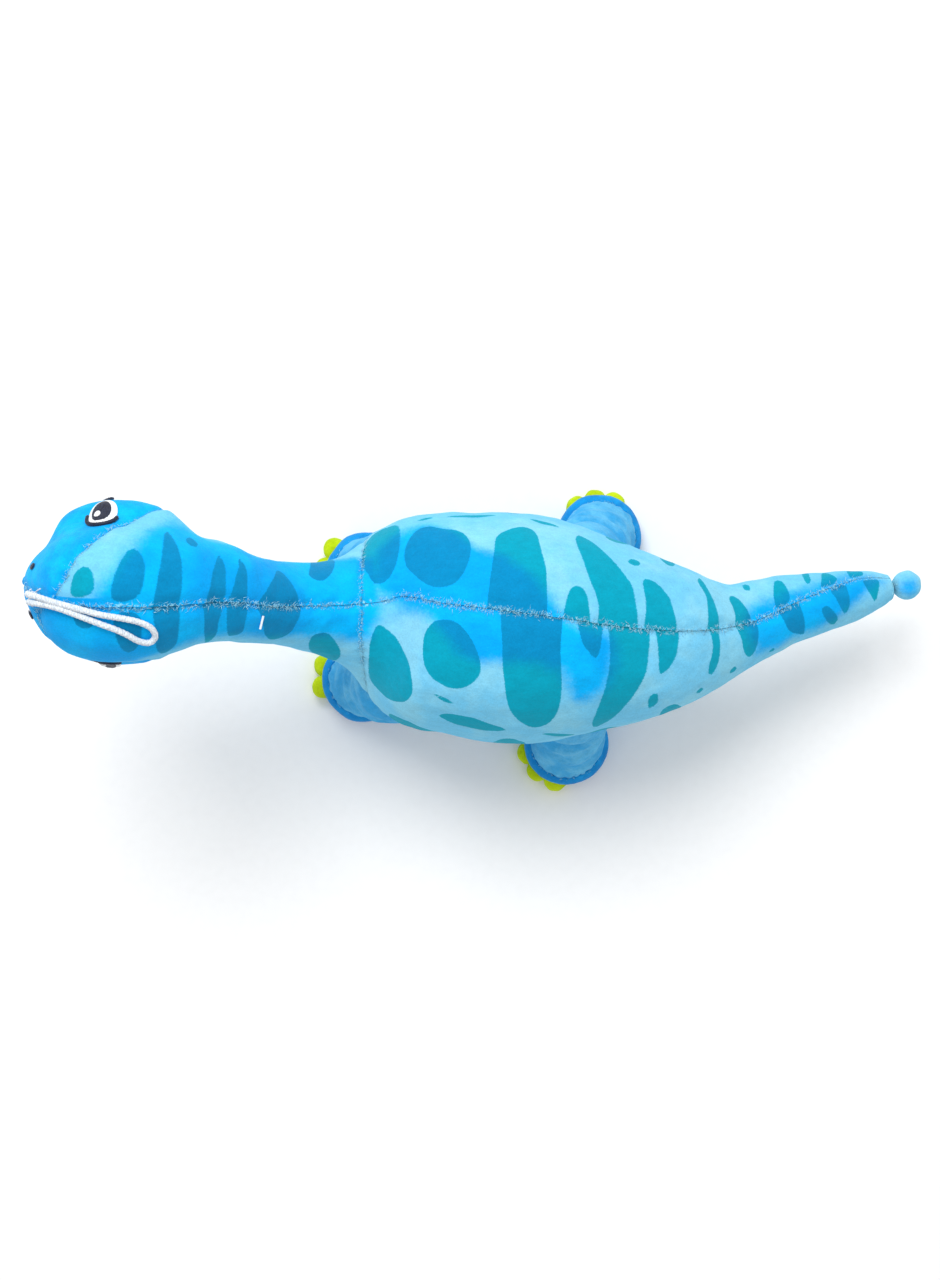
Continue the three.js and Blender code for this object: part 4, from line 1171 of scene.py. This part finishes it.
def ring_shell(name, rings, seam, material, slot_name, capped=False):
    """A band of fabric with an inner face, open at both ends, or closed over its first ring."""
    rows, columns = rings.shape[:2]
    middle = rings.mean(1, keepdims=True)
    inner = rings - unit(rings - middle) * SKIN
    points = np.concatenate([rings.reshape(-1, 3), inner.reshape(-1, 3)])
    count = rows * columns
    faces = grid_faces(rows, columns, wrap=True)
    faces += [face[::-1] for face in grid_faces(rows, columns, count, wrap=True)]
    for row, flip in ((0, 1), (rows - 1, -1)):
        for j in range(columns):
            a, b = row * columns + j, row * columns + (j + 1) % columns
            if capped and row == 0:
                faces += [[2 * count, a, b], [2 * count + 1, count + b, count + a]]
            else:
                faces.append([a, b, count + b, count + a][::flip])
    seam = np.tile(seam.ravel(), 2)
    if capped:
        points = np.vstack([points, rings[0].mean(0), inner[0].mean(0)])
        seam = np.append(seam, seam[[0, 0]])
    return add_mesh(name, points, faces, material, slot_name, unprinted(seam))


def make_leg(limb, upper, band, sole_plush, toe_plush, fill):
    hip = ROOTS[f"{limb}_leg_swing"]
    foot = hip[:2] + LEGS[limb]["foot"]
    body = f"{limb}_limb"
    seed = LIMBS.index(limb) * 10 + 40

    def slack(base, z, turn):
        """The upper skin dips at the ankle's seam and folds under the hip."""
        folds = 0.9 * np.sin(z * 0.62 + 2.2 * np.sin(turn + seed) + 0.8 * np.sin(2 * turn))
        puckers = 0.35 * np.sin(turn * 23 + 2 * np.sin(turn * 5)) * np.exp(-np.abs(z - ANKLE) / 4)
        dip = -1.5 * bell(z - ANKLE, 2.0)
        return dip + folds * bell(z - hip[2] + 6, 13) + puckers + 0.35 * ripple(base, 15, seed)

    def puffed(base, z, turn):
        """The band bulges between its two seams."""
        ends = np.minimum(np.abs(z - ANKLE), np.abs(z - SOLE_THICKNESS))
        puckers = 0.3 * np.sin(turn * 27 + 2 * np.sin(turn * 4)) * np.exp(-ends / 3)
        return -1.4 * bell(ends, 1.8) + puckers + 0.25 * ripple(base, 12, seed + 1)

    def packed(base, z, turn):
        return -STUFFING_GAP - 1 + 0.6 * ripple(base, 9, seed + 2)

    crown = hip[2] + LEG_BALL * math.cos(math.radians(14))
    rings = leg_rings(hip, foot, crown, ANKLE + 0.2, slack, int((crown - ANKLE) / 1.2))
    seam = np.abs(rings[..., 2] - ANKLE)
    skin = ring_shell(f"{limb}_leg_skin", rings, seam, upper, "blue_plush", capped=True)
    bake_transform(skin)
    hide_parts(f"{limb}_leg")

    rings = leg_rings(hip, foot, ANKLE - 0.2, SOLE_THICKNESS - 0.4, puffed, 14)
    seam = np.minimum(np.abs(rings[..., 2] - ANKLE), np.abs(rings[..., 2] - SOLE_THICKNESS))
    piece = ring_shell(f"{limb}_band", rings, seam, band, "foot_plush")
    settle(piece, body, f"{limb}_foot_band")

    make_sole(limb, foot, sole_plush, body)
    make_toes(limb, foot, toe_plush, body, seed)

    points, faces = closed_tube(leg_rings(hip, foot, hip[2] - LEG_FILL_DROP, 5, packed, 14, 40))
    piece = add_mesh(f"{limb}_leg_stuffing", points, faces, fill, "filling")
    settle(piece, body, f"{limb}_leg_filling")


def make_sole(limb, foot, material, body):
    """A sole: a soft disc, puckered where it is sewn in, and flat where it stands."""
    turn = turns(72)
    rings = []
    for share, z in SOLE_PROFILE:
        radius = (SOLE_RADIUS - 0.4) * share * (1 + 0.012 * np.sin(turn * 24) * (share > 0.9))
        x, y = foot[0] + radius * np.cos(turn), foot[1] + radius * np.sin(turn)
        rings.append(np.stack([x, y, z + 0 * turn], axis=1))
    points, faces = closed_tube(np.array(rings))
    seam = np.clip(SOLE_RADIUS - np.linalg.norm(points[:, :2] - foot, axis=1), 0, NO_SEAM)
    piece = add_mesh(f"{limb}_sole_pad", points, faces, material, "belly_plush", unprinted(seam))
    settle(piece, body, f"{limb}_sole")


def make_toes(limb, foot, material, body, seed):
    """Three puffed toes in one strip, each drawn in where it meets the next."""
    tilt = np.linspace(0.03, math.pi - 0.03, 22)[:, None]
    turn = turns(36)[None]
    ball = [np.cos(tilt) + 0 * turn, np.sin(tilt) * np.cos(turn), np.sin(tilt) * np.sin(turn)]
    shape = np.stack(ball, axis=-1)
    crease = 1 - 0.09 * bell(shape[..., 2:], 0.16)
    half, rise = TOE["width"] / 2, TOE["height"] / 2
    out = FOOT_RADIUS + TOE["reach"] - LEGS[limb]["tuck"] - half
    toes = []
    for i in range(3):
        angle = math.radians(LEGS[limb]["toes"] + (i - 1) * TOE_PITCH)
        ahead = np.array([math.cos(angle), math.sin(angle), 0])
        aside = np.array([-math.sin(angle), math.cos(angle), 0])
        local = np.sign(shape) * np.abs(shape) ** 0.92 * crease * [half + 1.2, half + 0.15, rise]
        local = local * (1 + 0.025 * ripple(local, 5, seed + 5 + i))[..., None]
        placed = local @ np.array([ahead, aside, [0, 0, 1.0]]) + ahead * (out - 1.2)
        placed += [*foot, TOE["low"] + rise]
        placed[..., 2] = np.maximum(placed[..., 2], 0.3)
        toes.append(closed_tube(placed))
    points, faces = joined(toes)
    values = unprinted(np.full(len(points), NO_SEAM))
    piece = add_mesh(f"{limb}_toe_strip", points, faces, material, "toe_plush", values)
    settle(piece, body, f"{limb}_toes")


# ---------------------------------------------------------------- tail tip and seam fuzz


def make_tail_tip(material):
    """The gathered ball on the tail's end."""
    at = ROOTS["tail_sway"] + TAIL_TIP["at"]
    radius = TAIL_TIP["radius"]
    axis = unit(at - section(np.array(TUBE_END))[0][:3])
    across = unit(np.cross(axis, [0, 0, 1.0]))
    other = np.cross(across, axis)
    tilt = np.linspace(0.04, math.pi - 0.04, 40)[:, None]
    turn = turns(64)[None]
    neck = bell(math.pi - tilt, 0.9)
    ring = np.sin(tilt) * (1 + 0.035 * np.sin(turn * 15 + np.sin(turn * 4)) * neck)
    ball = [np.cos(tilt) * (1 - 0.02 * neck) + 0 * turn, ring * np.cos(turn), ring * np.sin(turn)]
    local = np.stack(ball, axis=-1) @ np.array([axis, across, other])
    points = at + radius * local
    points = points + local * (0.18 * ripple(points, 5, 77))[..., None]
    points, faces = closed_tube(points)
    seam = np.clip(np.linalg.norm(points - (at - axis * radius * 0.9), axis=1) - 2.5, 0, NO_SEAM)
    # painted sheen: deep azure on the ball's top, pale towards its sides
    painted_sheen = 3.5 - np.linalg.norm(points - (at + [0, -1, radius * 0.8]), axis=1) * 1.2
    values = {**unprinted(seam), "painted_sheen": painted_sheen}
    piece = add_mesh("tail_tip_ball", points, faces, material, "blue_plush", values)
    settle(piece, "tail", "tail_tip")


def fuzz_line(rng, s, angle, spread, count):
    """Loose fibres along a seam, given as many places on it: thin spikes lying over the pile."""
    points, faces = [], []
    depth = -SEAM_DEPTH * math.exp(-((spread * 0.5 / SEAM_WIDTH) ** 2)) * 0.55
    for _ in range(count):
        k = rng.integers(0, len(s))
        radius = max(float(mean_radius(s[k])), 4)
        here_s = s[k] + rng.uniform(-1.0, 1.0)
        here_angle = angle[k] + np.degrees(rng.normal(0, spread) / radius)
        heading = rng.uniform(0, 2 * math.pi)
        long = rng.uniform(0.8, 2.1)
        ahead = np.degrees(long * math.sin(heading) / radius)
        low = surface(here_s, here_angle, depth - 0.3)
        height = depth + rng.uniform(0.3, 1.1)
        top = surface(here_s + long * math.cos(heading), here_angle + ahead, height)
        way = unit(top - low)
        side = unit(np.cross(way, rng.normal(size=3)))
        other = np.cross(way, side)
        first = len(points)
        points += [low + FIBRE_RADIUS * (side * math.cos(t) + other * math.sin(t)) for t in (0, 2.1, 4.2)]
        points.append(top)
        faces += [[first, first + 2, first + 1], [first, first + 1, first + 3]]
        faces += [[first + 1, first + 2, first + 3], [first + 2, first, first + 3]]
    return np.array(points), faces


def make_fuzz(material):
    """Fibres along the spine seam, part by part, and along the neck's and the hood's cross seams."""
    rng = np.random.default_rng(2024)
    neck_angles = np.linspace(-100, 100, 200)
    hood_angles = np.linspace(-80, 90, 160)
    spine = [
        ("body", np.linspace(150, 384, 900), 800),
        ("neck", np.linspace(NECK_JOIN + 2, 142, 200), 90),
        ("hood", np.linspace(26, NECK_JOIN - 2, 300), 330),
        ("face", np.linspace(3, 18, 60), 60),
    ]
    for part, s, count in spine:
        lines = [fuzz_line(rng, s, 0 * s, 0.8, count)]
        if part == "neck":
            lines.append(fuzz_line(rng, neck_seam(neck_angles) - 0.8, neck_angles, 0.5, 170))
        if part == "face":
            lines.append(fuzz_line(rng, hood_seam(hood_angles) - 0.5, hood_angles, 0.4, 150))
        piece = add_mesh(f"{part}_seam_fuzz", *joined(lines), material, "blue_plush")
        attach_to_bend(piece, part)


# ---------------------------------------------------------------- the whole toy

make_camera()
white_cord = thread("white_cord", (236, 240, 244), (184, 198, 212), sheen=0.1, roughness=0.75)
make_loop(white_cord)

make_light()
make_floor()
plush = printed_plush()
face_plush = plain_plush("face_plush", (0, 182, 248), (0, 160, 238))
belly_plush = plain_plush("belly_plush", (168, 218, 238), (146, 204, 230))
leg_plush = plain_plush("leg_plush", (96, 184, 228), (54, 160, 218))
foot_plush = plain_plush("foot_plush", (14, 148, 220), (8, 126, 200))
toe_plush = plain_plush("toe_plush", (196, 220, 22), (176, 202, 10), fuzzy=False)
eye_white = thread("eye_white", (248, 249, 250), (220, 226, 232))
eye_dark = thread("eye_dark", (30, 40, 66), (10, 16, 34))
fill = fibre_fill()

place_skins(make_skins(plush, face_plush, belly_plush))
make_filling(fill)
make_face(eye_white, eye_dark)
make_loop_stitches(white_cord)
for limb in LIMBS:
    make_leg(limb, leg_plush, foot_plush, belly_plush, toe_plush, fill)
make_tail_tip(plush)
make_fuzz(thread("seam_fuzz", (176, 232, 250), (120, 206, 240)))

pin = frame["nodes"]["tag_pin"]
pin.data.materials.clear()
pin.data.materials.append(clear_plastic())
